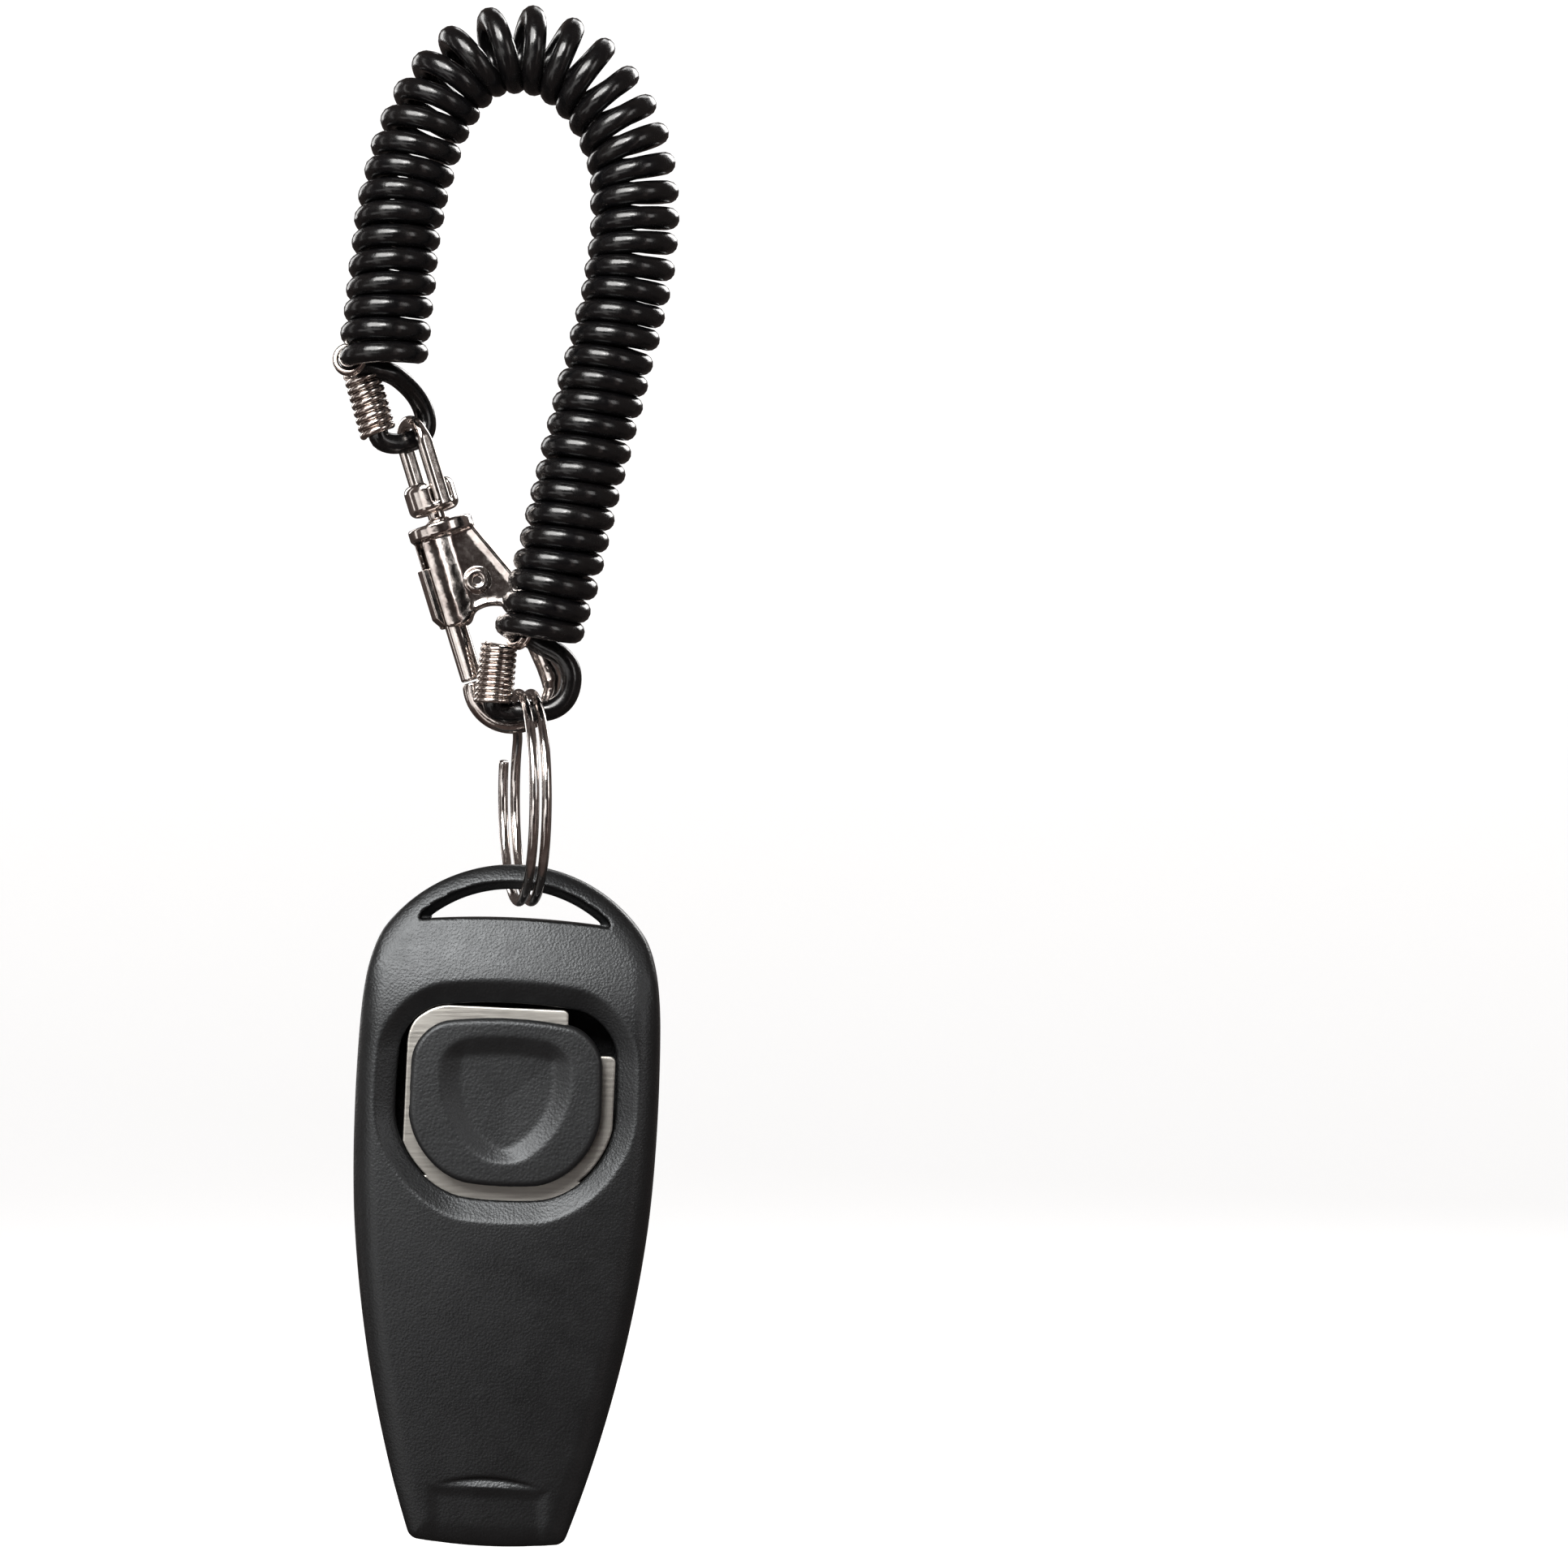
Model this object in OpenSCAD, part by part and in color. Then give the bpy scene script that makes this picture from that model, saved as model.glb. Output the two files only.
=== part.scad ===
// Clicker trainer: a whistle-shaped hand clicker that hangs on a split ring from
// a coiled wrist cord, with a swivel snap hook clipped on to the same ring.
// +Z is up, the button faces -Y, and the origin is the inside top of the cord's arch.

/* [Case] */
// Height of the case along its own middle line
case_h = 82.4; // [80:0.1:84]
// Half width of the case at its widest
case_half_w = 18.4; // [18:0.1:19.4]
// Radius of the arched top
arch_r = 19.2; // [19:0.1:20.4]
// Distance from the joint plane to the front
front_t = 7.2; // [7:0.1:8]
// Distance from the joint plane to the flat back
back_t = 6.6; // [6.4:0.1:7.5]
// Lean of the case in the plane of its front, in degrees
case_lean = 2.65; // [1.5:0.05:3]
// Height of the top of the case
case_top_z = -93.5; // [-93.7:0.1:-93.4]

/* [Button and clicker plate] */
// Width of the button
button_w = 23; // [20:0.5:24]
// Height of the button
button_h = 20.4; // [18:0.2:21]
// Width of the opening round the button
opening_w = 26.8; // [26:0.1:27.5]
// Height of the opening round the button
opening_h = 23.9; // [23:0.1:24.5]
// Thickness of the spring steel plate
plate_t = 0.5; // [0.3:0.05:0.6]

/* [Split ring] */
// Outer diameter of the ring
ring_d = 26.4; // [26:0.1:26.6]
// Diameter of the ring's wire
ring_wire = 1.2; // [1:0.05:1.3]
// Distance between the two turns
ring_pitch = 1.5; // [1.35:0.05:1.6]
// Turn of the ring away from edge-on, in degrees
ring_yaw = 11; // [8:1:12]

/* [Cord] */
// Diameter of the cord
cord_d = 2.6; // [2.2:0.1:2.6]
// Outer diameter of the coil
coil_d = 10.7; // [10:0.1:10.8]

/* [Snap hook] */
// Lean of the hook from upright, in degrees
hook_lean = 17; // [16.5:0.1:17.5]
// Depth of the hook's middle plane
hook_y = 3; // [2.9:0.1:3.3]
// Diameter of the sliding bolt
bolt_d = 2.7; // [2.4:0.1:2.8]
// Diameter of the claw's round section
claw_d = 2.3; // [2:0.1:2.4]
// Radius of the claw's middle line
claw_r = 4.9; // [4.8:0.05:5]
// Turn of the swivel eye about the hook's axis, in degrees
eye_turn = -60; // [-65:1:-55]

/* [Hidden] */
$fn = 48;

// Lengths for cuts that go right through, and for the whole width of the case
reach = 10;
wide = 50;

// Case
case_x = 0.7;
side_r = 161;          // radius of the long curve of each side
side_z = -28.4;          // height of the widest place
end_r = 68;            // radius of the mouthpiece end
long_crown_r = 300;    // lengthwise curve of the front and back
long_crown_z = -38;
shoulder_r = 70;       // the front rolls back towards the top on this radius
shoulder_z = -21;      // and starts to roll here
bevel_in = 3;          // how far the rounded edge comes in
bevel_y = 3.2;         // where the rounded edge starts, from the joint plane
wall = 1.9;
inner_y = wall - front_t;
slot_top_face = 1.95;   // depth of the strap slot below the top, at the faces
slot_top_mid = 2.95;   // the same at mid thickness, where the bar bulges
slot_low = 6.5;
slot_low_r = 108;
slot_half_w = 11.5;
bar_mid_half_t = 2;
chamber = [30, 31];
chamber_z = -29;
chamber_corner = 4;
post_r = 1.2;
post_len = 2.8;
post_foot = 1;         // how far the front cover's posts stand in its own wall
post_room = 0.2;
posts = [[10, -10.2], [12.6, -46.8], [9.2, -74]];
lip_y = -3.7;          // flat of the mouthpiece's lip recess
lip = [14.8, 16];
lip_corner = 4;

// Button, plate and its keeper
button_at = [0, -28.5];
opening_corner = 7;
recess_grow = [4.6, 5.3];
recess_corner = 9;
recess_depth = 1.3;
button_front = -7.9;
button_corner = 6.5;
button_wall = 1.4;
button_face_t = 1.8;
stem_r = 2.6;
dish_r = 32;
dish_depth = 1;
plate_y = -4.9;        // front of the plate
bead_r = 0.6;          // rolled lower edge of the plate, which it turns on
bead = [-4.4, -41.6];  // y and z of the bead
bead_gap = 0.06;
plate_x = [-12.2, 13];  // left and right edges of the plate
plate_top = -17.2;
notch = [7.1, -22.5];   // the plate is cut away above and to the right of this
keeper_half_w = 11;
keeper_y = [-5.3, -2.3];
keeper_z = [-44.4, -40.8];
screw_x = 9.5;
screw_z = -43.3;
tongue_cut = [11, 1.6]; // beside the bead the plate is cut away out from here, and this high
screw_r = 0.7;
screw_tip = -6.4;
screw_head = [1.3, 0.8];
rivet_r = 0.8;
rivet_in_button = 1.2;
rivet_head = [1.6, 0.6];
washer = [2.2, 0.3];

// Whistle
block_half_w = 6;
block_y = [-2.6, 1];
block_z = [-80.6, -68];
windway_half_w = 5.2;
windway_low = -1;      // the block's foot is narrower above this
window_front = 0.5;
windway_top = 2.8;
window_top = -63.5;
whistle_room = [18, 19];
whistle_room_y = [-4, 3.6];
whistle_room_z = -58.5;
room_corner = 3;

// Ring: its centre, with the bar of the case resting in its lowest part
ring_at = [1.45, 0, -85.35];
ring_r = (ring_d - ring_wire) / 2;
left_turn = [-202, 110];
right_turn = [-190, 122];
step_turn = [158, 122]; // where the wire steps across from one turn to the other

// Hook: its own frame has the axis of the swivel along z, with the flange's top at 0
hook_at = [-9.1, hook_y, -51.9];
flange_r = 4;
flange_t = 1.6;
barrel_x = -1.7;
barrel_r = 1.95;
barrel_low = -12.6;
bolt_tip = -19.5;
bolt_top = -7;
bore_top = -2.6;
slide_gap = 0.05;
slide_low = -12.3;
slide_top = -5;
slot_turn = 215;       // direction of the thumb slide round the barrel, in degrees
slot_w = 1.5;
slide_w = 1.3;
slide_foot = [0.5, 1]; // distance from the bolt's axis, and depth, of the part in the bolt
slide_fin = 1.4;
claw_at = [2.8, -21.4];
claw_tip_angle = 165;
mouth = [-5.1, 5.5, 6]; // left side, width and height of the gap that the bolt shuts
shank_d = claw_d + 0.3; // the shank is a little stouter than the claw
shank_h = 9.8;
shank_lean = 7;
web_t = 2;
web = [[barrel_x, -1], [3.7, -1], [7.7, -10.4], [8.2, -14], [4, -14], [barrel_x, barrel_low]];
web_arch = [3.9, 2.4, -15.4]; // radius, x and z of the round cut under the web
eyelet_at = [2.5, -8.1];
eyelet_r = [1.7, 0.7]; // outside and hole
eyelet_y = [-1.5, -0.9]; // rim and floor
neck_r = 1.1;
pin_head = [1.7, 0.7];
cup = [1.2, 4.6];      // bottom and rim of the swivel's cup
cup_r = 3.1;
cup_bevel = [0.5, 0.6];
cup_room = [1.8, 0.9];
bow_half = 2.6;        // half the distance between the legs of the bow
bow_wire = 1.5;
bow_z = 10.2;
bow_foot = 3;

// Crimps: [foot, head] of each winding's middle line
crimp_wire = 0.76;
crimp_r = 2.05;
crimp_bore = 1.32;
ring_crimp = [[-2.3, -1.1, -73.6], [-1.6, -1.1, -67.2]];
hook_crimp = [[-16.4, 0.8, -40.9], [-18.3, 0.8, -34.2]];
tie_r = 1.9;
ring_tie_at = [-0.2, -2.6, -65.6];
hook_tie_at = [-19.4, -1.6, -32.6];

// Middle lines of the coil and of the two plain loops at its ends
coil_route = [[-15.5, -3.5, -32], [-14.6, -3, -24], [-13.6, -2, -15], [-12.4, -1.2, -9.5],
  [-10.4, -0.6, -3.5], [-6.8, 0, 2.2], [-3.3, 0, 4.7], [0.6, 0, 5.4], [4.7, 0, 4.6],
  [8.4, -0.2, 2.3], [10.9, -0.5, -0.6], [12.8, -0.8, -3.8], [14.2, -1.2, -7.6],
  [14.8, -1.6, -12], [14.7, -2.1, -18], [13.7, -2.6, -24.5], [12, -3, -31.5],
  [9.6, -3.4, -41], [7.4, -3.7, -50], [5.6, -3.8, -57.5], [3.4, -3.8, -65]];
ring_loop_route = [[3, -0.2, -64.5], [3.6, 0.2, -66.9], [5.5, 0.1, -67.9], [6.8, 0, -69.4],
  [7.1, 0, -71.3],
  [6.4, 0, -73.4], [4.9, 0, -74.6], [3.2, 0, -74.9], [1.6, 0, -74.9], [0.2, 0, -75],
  [-1.2, -0.5, -75], [-2.2, -1, -74.4], ring_crimp[0], 0.5 * (ring_crimp[0] + ring_crimp[1]),
  ring_crimp[1]];
hook_loop_route = [[-15, -0.2, -31], [-15, 1.1, -33.8], [-13.2, 2.4, -35],
  [-11.6, 3.7, -36.9], [-10.8, 4.3, -39.2], [-11, 3.9, -41], [-12.3, 3.1, -41.9],
  [-13.7, 2.2, -42.3], [-15.1, 1.4, -42.3], [-16.1, 0.9, -41.8], hook_crimp[0],
  0.5 * (hook_crimp[0] + hook_crimp[1]), hook_crimp[1]];

// ---- helpers ----

function unit(v) = v / norm(v);

function spline_point(a, b, c, d, t) =
  0.5 * (2 * b + (c - a) * t + (2 * a - 5 * b + 4 * c - d) * t * t
    + (3 * b - a - 3 * c + d) * t * t * t);

// A smooth line through every point of p, with n steps between two points
function smooth(p, n) = let (last = len(p) - 1) [
  for (i = [0:last - 1]) for (k = [0:n - 1])
    spline_point(p[max(i - 1, 0)], p[i], p[i + 1], p[min(i + 2, last)], k / n),
  p[last]];

// A tube of radius r along the points p; up is never along the line
module tube(p, r, sides, up = [0, 1, 0]) {
  last = len(p) - 1;
  rings = [for (i = [0:last])
    let (t = unit(p[min(i + 1, last)] - p[max(i - 1, 0)]),
      a = unit(cross(t, up)), b = cross(t, a))
    for (k = [0:sides - 1]) p[i] + r * (cos(360 * k / sides) * a + sin(360 * k / sides) * b)];
  walls = [for (i = [0:last - 1]) for (k = [0:sides - 1]) let (j = (k + 1) % sides)
    [i * sides + k, (i + 1) * sides + k, (i + 1) * sides + j, i * sides + j]];
  ends = [[for (k = [0:sides - 1]) k], [for (k = [0:sides - 1]) last * sides + sides - 1 - k]];
  polyhedron(points = rings, faces = concat(walls, ends), convexity = 8);
}

// Turns the z axis on to the direction v and moves there
module along(at, v) {
  translate(at) rotate([0, acos(v[2] / norm(v)), atan2(v[1], v[0])]) children();
}

module in_case() {
  translate([case_x, 0, case_top_z]) rotate([0, case_lean, 0]) children();
}

module in_hook() {
  translate(hook_at) rotate([0, -hook_lean, 0]) children();
}

module in_ring() {
  translate(ring_at) rotate([0, 0, ring_yaw]) rotate([0, 90, 0]) children();
}

// A drawing in x and z, made solid from y0 to y1
module slab(y0, y1) {
  translate([0, y1, 0]) rotate([90, 0, 0]) linear_extrude(y1 - y0) children();
}

// A cylinder along y from y0 to y1 at x and z
module peg(r, y0, y1, x, z) {
  translate([x, y1, z]) rotate([90, 0, 0]) cylinder(r = r, h = y1 - y0);
}

// The room between two depths, over the whole case
module layer(y0, y1) {
  slab(y0, y1) translate([-wide / 2, -case_h - reach]) square([wide, case_h + 2 * reach]);
}

// A cylinder right across the case, for the curve of a face
module across(r, y, z) {
  translate([-wide / 2, y, z]) rotate([0, 90, 0]) cylinder(r = r, h = wide, $fn = 360);
}

module rounded(size, r) {
  square([size[0] - 2 * r, size[1]], center = true);
  square([size[0], size[1] - 2 * r], center = true);
  for (sx = [-1, 1], sy = [-1, 1])
    translate([sx * (size[0] / 2 - r), sy * (size[1] / 2 - r)]) circle(r);
}

// ---- case ----

module case_outline(inset = 0) {
  intersection() {
    union() {
      translate([0, -arch_r]) circle(arch_r - inset, $fn = 180);
      translate([-wide / 2, -case_h - reach]) square([wide, case_h + reach - arch_r]);
    }
    translate([case_half_w - side_r, side_z]) circle(side_r - inset, $fn = 540);
    translate([side_r - case_half_w, side_z]) circle(side_r - inset, $fn = 540);
    translate([0, end_r - case_h]) circle(end_r - inset, $fn = 240);
  }
}

// The whole outside of the closed case
module case_block() {
  intersection() {
    hull() {
      slab(-bevel_y, bevel_y) case_outline();
      slab(-front_t, back_t) case_outline(bevel_in);
    }
    across(long_crown_r, long_crown_r - front_t, long_crown_z);
    across(long_crown_r, front_t - long_crown_r, long_crown_z);
    union() {
      across(shoulder_r, shoulder_r - front_t, shoulder_z);
      translate([-wide / 2, -wide / 2, shoulder_z - 2 * case_h]) cube([wide, wide, 2 * case_h]);
    }
  }
}

module strap_slot() {
  module crescent(depth) {
    intersection() {
      difference() {
        translate([0, -arch_r]) circle(arch_r - depth, $fn = 120);
        translate([0, -slot_low - slot_low_r]) circle(slot_low_r, $fn = 360);
      }
      square([2 * slot_half_w, 4 * arch_r], center = true);
    }
  }
  slab(-reach, reach) crescent(slot_top_mid);
  slab(-reach, -bar_mid_half_t) crescent(slot_top_face);
  slab(bar_mid_half_t, reach) crescent(slot_top_face);
}

// Hollows that both halves share
module case_hollows() {
  translate([0, 0, chamber_z]) slab(inner_y, back_t - wall) rounded(chamber, chamber_corner);
  translate([0, 0, whistle_room_z]) slab(whistle_room_y[0], whistle_room_y[1])
    rounded(whistle_room, room_corner);
  slab(block_y[0], block_y[1]) translate([-block_half_w, block_z[0]])
    square([2 * block_half_w, block_z[1] - block_z[0]]);
  slab(block_y[1], windway_top) translate([-windway_half_w, -case_h - reach])
    square([2 * windway_half_w, case_h + reach + window_top]);
  slab(windway_low, windway_top) translate([-windway_half_w, -case_h - reach])
    square([2 * windway_half_w, reach + case_h + block_z[0]]);
}

module front_cover() {
  color("#26262a") in_case() {
    difference() {
      intersection() {
        case_block();
        layer(-reach, 0);
      }
      strap_slot();
      case_hollows();
      translate([button_at[0], 0, button_at[1]]) {
        slab(-reach, 0) rounded([opening_w, opening_h], opening_corner);
        hull() {
          slab(-reach, -front_t) rounded([opening_w, opening_h] + recess_grow, recess_corner);
          slab(-reach, recess_depth - front_t) rounded([opening_w, opening_h], opening_corner);
        }
      }
      translate([0, 0, -case_h]) slab(-reach, lip_y) rounded(lip, lip_corner);
      for (s = [-1, 1]) peg(screw_r, screw_tip, 0, s * screw_x, screw_z);
    }
    for (s = [-1, 1], p = posts) peg(post_r, -post_foot, post_len, s * p[0], p[1]);
  }
}

module back_cover() {
  color("#222226") in_case() difference() {
    intersection() {
      case_block();
      layer(0, reach);
    }
    strap_slot();
    case_hollows();
    slab(window_front, reach) translate([-windway_half_w, block_z[1]])
      square([2 * windway_half_w, window_top - block_z[1]]);
    for (s = [-1, 1], p = posts) peg(post_r, -post_foot, post_len + post_room, s * p[0], p[1]);
  }
}

module whistle_block() {
  color("#2c2c30") in_case() slab(block_y[0], block_y[1])
    translate([-block_half_w, block_z[0]])
      square([2 * block_half_w, block_z[1] - block_z[0]]);
}

module plate_keeper() {
  color("#303034") in_case() difference() {
    slab(keeper_y[0], keeper_y[1]) translate([-keeper_half_w, keeper_z[0]])
      square([2 * keeper_half_w, keeper_z[1] - keeper_z[0]]);
    across(bead_r + bead_gap, bead[0], bead[1]);
    translate([-wide / 2, plate_y - 0.1, bead[1]]) cube([wide, plate_t + 0.5, reach]);
    for (s = [-1, 1]) peg(screw_r + 0.1, -reach, 0, s * screw_x, screw_z);
  }
}

module keeper_screws() {
  color("silver") in_case() for (s = [-1, 1]) {
    peg(screw_r, screw_tip, keeper_y[1], s * screw_x, screw_z);
    peg(screw_head[0], keeper_y[1], keeper_y[1] + screw_head[1], s * screw_x, screw_z);
  }
}

module clicker_plate() {
  color("#8b8c90") in_case() difference() {
    union() {
      slab(plate_y, plate_y + plate_t) translate([plate_x[0], bead[1]])
        square([plate_x[1] - plate_x[0], plate_top - bead[1]]);
      translate([-keeper_half_w, bead[0], bead[1]]) rotate([0, 90, 0])
        cylinder(r = bead_r, h = 2 * keeper_half_w);
    }
    slab(-reach, 0) translate(notch) square(wide);
    slab(-reach, 0) difference() {
      translate([-wide / 2, bead[1] - reach]) square([wide, reach + tongue_cut[1]]);
      square([2 * tongue_cut[0], 2 * case_h], center = true);
    }
    peg(rivet_r + 0.02, -reach, 0, button_at[0], button_at[1]);
  }
}

module button_cap() {
  color("#2b2b30") in_case() translate([button_at[0], 0, button_at[1]]) difference() {
    union() {
      difference() {
        slab(button_front, plate_y) rounded([button_w, button_h], button_corner);
        slab(button_front + button_face_t, 0)
          rounded([button_w, button_h] - 2 * button_wall * [1, 1], button_corner - button_wall);
      }
      peg(stem_r, button_front + button_face_t - 0.3, plate_y, 0, 0);
    }
    translate([0, button_front + dish_depth - dish_r, 0]) sphere(dish_r, $fn = 120);
    peg(rivet_r, plate_y - rivet_in_button, 0, 0, 0);
  }
}

module button_rivet() {
  color("silver") in_case() translate([button_at[0], 0, button_at[1]]) {
    under = plate_y + plate_t + washer[1];
    peg(rivet_r, plate_y - rivet_in_button, under, 0, 0);
    peg(rivet_head[0], under, under + rivet_head[1], 0, 0);
  }
}

module rivet_washer() {
  color("gray") in_case() translate([button_at[0], 0, button_at[1]]) difference() {
    peg(washer[0], plate_y + plate_t, plate_y + plate_t + washer[1], 0, 0);
    peg(rivet_r, -reach, 0, 0, 0);
  }
}

// ---- split ring ----

module split_ring() {
  function step(t) = let (a = step_turn[0] + (step_turn[1] - step_turn[0]) * t,
      s = (1 - cos(180 * t)) / 2)
    [ring_r * cos(a), ring_r * sin(a), ring_pitch * (s - 0.5)];
  color("#b9b4b0") in_ring() {
    translate([0, 0, -ring_pitch / 2]) rotate([0, 0, left_turn[0]])
      rotate_extrude(angle = left_turn[1] - left_turn[0], $fn = 96)
        translate([ring_r, 0]) circle(ring_wire / 2, $fn = 16);
    translate([0, 0, ring_pitch / 2]) rotate([0, 0, right_turn[0]])
      rotate_extrude(angle = right_turn[1] - right_turn[0], $fn = 96)
        translate([ring_r, 0]) circle(ring_wire / 2, $fn = 16);
    tube([for (k = [0:8]) step(k / 8)], ring_wire / 2, 10, [0, 0, 1]);
  }
}

// ---- cord ----

module coil_cord() {
  color("#101014") tube(smooth(coil_route, 2), coil_d / 2, 12);
}

module ring_end_loop() {
  color("#101014") tube(smooth(ring_loop_route, 3), cord_d / 2, 8);
}

module hook_end_loop() {
  color("#101014") tube(smooth(hook_loop_route, 3), cord_d / 2, 8);
}

// A close winding of wire from foot to head, with a tie of the same wire round the coil
module crimp(ends, tie_at, tie_turn) {
  v = ends[1] - ends[0];
  winds = floor(norm(v) / crimp_wire);
  color("#b0a8a4") {
    along(ends[0], v) rotate_extrude() {
      translate([crimp_bore, 0]) square([crimp_r - crimp_bore - crimp_wire / 2, norm(v)]);
      for (k = [0:winds - 1]) translate([crimp_r - crimp_wire / 2, (k + 0.5) * norm(v) / winds])
        circle(crimp_wire / 2, $fn = 16);
    }
    translate(tie_at) rotate(tie_turn) rotate_extrude()
      translate([tie_r, 0]) circle(crimp_wire / 2, $fn = 16);
  }
}

module ring_end_crimp() {
  crimp(ring_crimp, ring_tie_at, [0, 80, 60]);
}

module hook_end_crimp() {
  crimp(hook_crimp, hook_tie_at, [0, 90, 50]);
}

// ---- snap hook ----

module hook_body() {
  color("#a8a09c") in_hook() difference() {
    union() {
      translate([0, 0, -flange_t]) cylinder(r = flange_r, h = flange_t);
      translate([barrel_x, 0, barrel_low]) cylinder(r = barrel_r, h = -barrel_low - flange_t / 2);
      difference() {
        slab(-web_t / 2, web_t / 2) polygon(web);
        peg(web_arch[0], -reach, reach, web_arch[1], web_arch[2]);
      }
      translate([claw_at[0] + claw_r - 0.05, 0, claw_at[1] - 0.6]) rotate([0, -shank_lean, 0])
        cylinder(d = shank_d, h = shank_h);
      translate([claw_at[0], 0, claw_at[1]]) rotate([90, 0, 0]) rotate([0, 0, claw_tip_angle])
        rotate_extrude(angle = 360 - claw_tip_angle, $fn = 96) translate([claw_r, 0])
          circle(d = claw_d, $fn = 24);
      difference() {
        peg(eyelet_r[0], eyelet_y[0], 0, eyelet_at[0], eyelet_at[1]);
        peg(eyelet_r[1], -reach, eyelet_y[1], eyelet_at[0], eyelet_at[1]);
      }
    }
    translate([barrel_x, 0, barrel_low - 1])
      cylinder(d = bolt_d + 2 * slide_gap, h = 1 + bore_top - barrel_low);
    translate([barrel_x, 0, 0]) rotate([0, 0, slot_turn])
      translate([0, -slot_w / 2, barrel_low - 1]) cube([6, slot_w, 1 - barrel_low - flange_t]);
    translate([mouth[0], -mouth[2] / 2, bolt_tip - 0.25]) cube([mouth[1], mouth[2], mouth[2]]);
  }
}

module swivel_pin() {
  color("#c0bab6") in_hook() {
    head_z = cup[1] - 0.8;
    cylinder(r = neck_r, h = head_z);
    translate([0, 0, head_z]) cylinder(r = pin_head[0], h = pin_head[1]);
  }
}

module swivel_eye() {
  color("#b4aca8") in_hook() rotate([0, 0, eye_turn]) {
    difference() {
      union() {
        translate([0, 0, cup[0]]) cylinder(r1 = cup_r - cup_bevel[0], r2 = cup_r, h = cup_bevel[1]);
        translate([0, 0, cup[0] + cup_bevel[1]])
          cylinder(r = cup_r, h = cup[1] - cup[0] - cup_bevel[1]);
      }
      cylinder(r = neck_r + slide_gap, h = reach);
      translate([0, 0, cup[1] - cup_room[1]]) cylinder(r = cup_room[0], h = reach);
    }
    for (s = [-1, 1]) translate([s * bow_half, 0, bow_foot]) cylinder(d = bow_wire, h = bow_z - bow_foot);
    translate([0, 0, bow_z]) rotate([90, 0, 0]) rotate_extrude(angle = 180)
      translate([bow_half, 0]) circle(d = bow_wire, $fn = 24);
  }
}

// The thumb slide: a narrow foot that sits in the bolt, and a fin out through the slot
module slide_shape() {
  rotate([0, 0, slot_turn]) {
    translate([slide_foot[0], -slide_w / 2, slide_low])
      cube([slide_foot[1], slide_w, bolt_top - slide_low]);
    translate([bolt_d / 2, -slide_w / 2, slide_low]) cube([slide_fin, slide_w, slide_top - slide_low]);
  }
}

module thumb_slide() {
  color("#908884") in_hook() translate([barrel_x, 0, 0]) slide_shape();
}

module hook_bolt() {
  color("#cfc8c4") in_hook() translate([barrel_x, 0, 0]) difference() {
    translate([0, 0, bolt_tip]) cylinder(d = bolt_d, h = bolt_top - bolt_tip);
    slide_shape();
  }
}

module bolt_spring() {
  turns = 4;
  steps = 48;
  coil_r = 0.85;
  wire_r = 0.13;
  end_gap = 0.2;
  length = bore_top - bolt_top - 2 * end_gap;
  color("silver") in_hook() translate([barrel_x, 0, bolt_top + end_gap])
    tube([for (k = [0:steps]) let (a = 360 * turns * k / steps)
      [coil_r * cos(a), coil_r * sin(a), length * k / steps]], wire_r, 6, [0, 0, 1]);
}

coil_cord();
ring_end_loop();
hook_end_loop();
ring_end_crimp();
hook_end_crimp();
split_ring();
front_cover();
back_cover();
whistle_block();
plate_keeper();
keeper_screws();
clicker_plate();
button_cap();
button_rivet();
rivet_washer();
hook_body();
swivel_pin();
swivel_eye();
hook_bolt();
thumb_slide();
bolt_spring();
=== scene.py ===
import math

import bpy
import numpy as np
from mathutils import Matrix, Vector


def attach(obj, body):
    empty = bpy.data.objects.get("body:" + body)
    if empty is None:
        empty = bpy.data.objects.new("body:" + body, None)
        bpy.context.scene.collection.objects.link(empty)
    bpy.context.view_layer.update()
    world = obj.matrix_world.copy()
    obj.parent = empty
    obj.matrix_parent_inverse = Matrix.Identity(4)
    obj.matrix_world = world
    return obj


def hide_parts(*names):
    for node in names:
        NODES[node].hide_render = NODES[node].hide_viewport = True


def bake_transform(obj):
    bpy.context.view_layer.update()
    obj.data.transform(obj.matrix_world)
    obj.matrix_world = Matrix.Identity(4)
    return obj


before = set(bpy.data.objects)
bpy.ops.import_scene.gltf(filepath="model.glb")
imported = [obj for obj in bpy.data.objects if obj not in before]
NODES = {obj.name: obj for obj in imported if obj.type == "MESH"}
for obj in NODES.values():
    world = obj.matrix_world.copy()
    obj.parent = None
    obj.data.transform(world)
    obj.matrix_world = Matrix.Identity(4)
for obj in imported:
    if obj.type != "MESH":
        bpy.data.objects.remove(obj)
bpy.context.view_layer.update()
MM = 0.001

# ---------------------------------------------------------------- camera

VIEW_X, VIEW_Z = 0.0329, -0.0837      # the middle of the picture, in the plane y = 0
VIEW_WIDTH = 0.1901                   # what the picture is wide, in the plane y = 0
LENS = 150.0
SENSOR = 36.0

camera_data = bpy.data.cameras.new("camera")
camera_data.lens = LENS
camera_data.sensor_width = SENSOR
camera_data.clip_start = 0.01
camera_data.clip_end = 20
camera = bpy.data.objects.new("camera", camera_data)
bpy.context.scene.collection.objects.link(camera)
camera.location = (VIEW_X, -VIEW_WIDTH * LENS / SENSOR, VIEW_Z)
camera.rotation_euler = (math.pi / 2, 0, 0)
bpy.context.scene.camera = camera
bpy.context.scene.view_settings.view_transform = "Standard"
bpy.context.scene.view_settings.look = "None"

# ---------------------------------------------------------------- measures, as in part.scad (mm, degrees)

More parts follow.
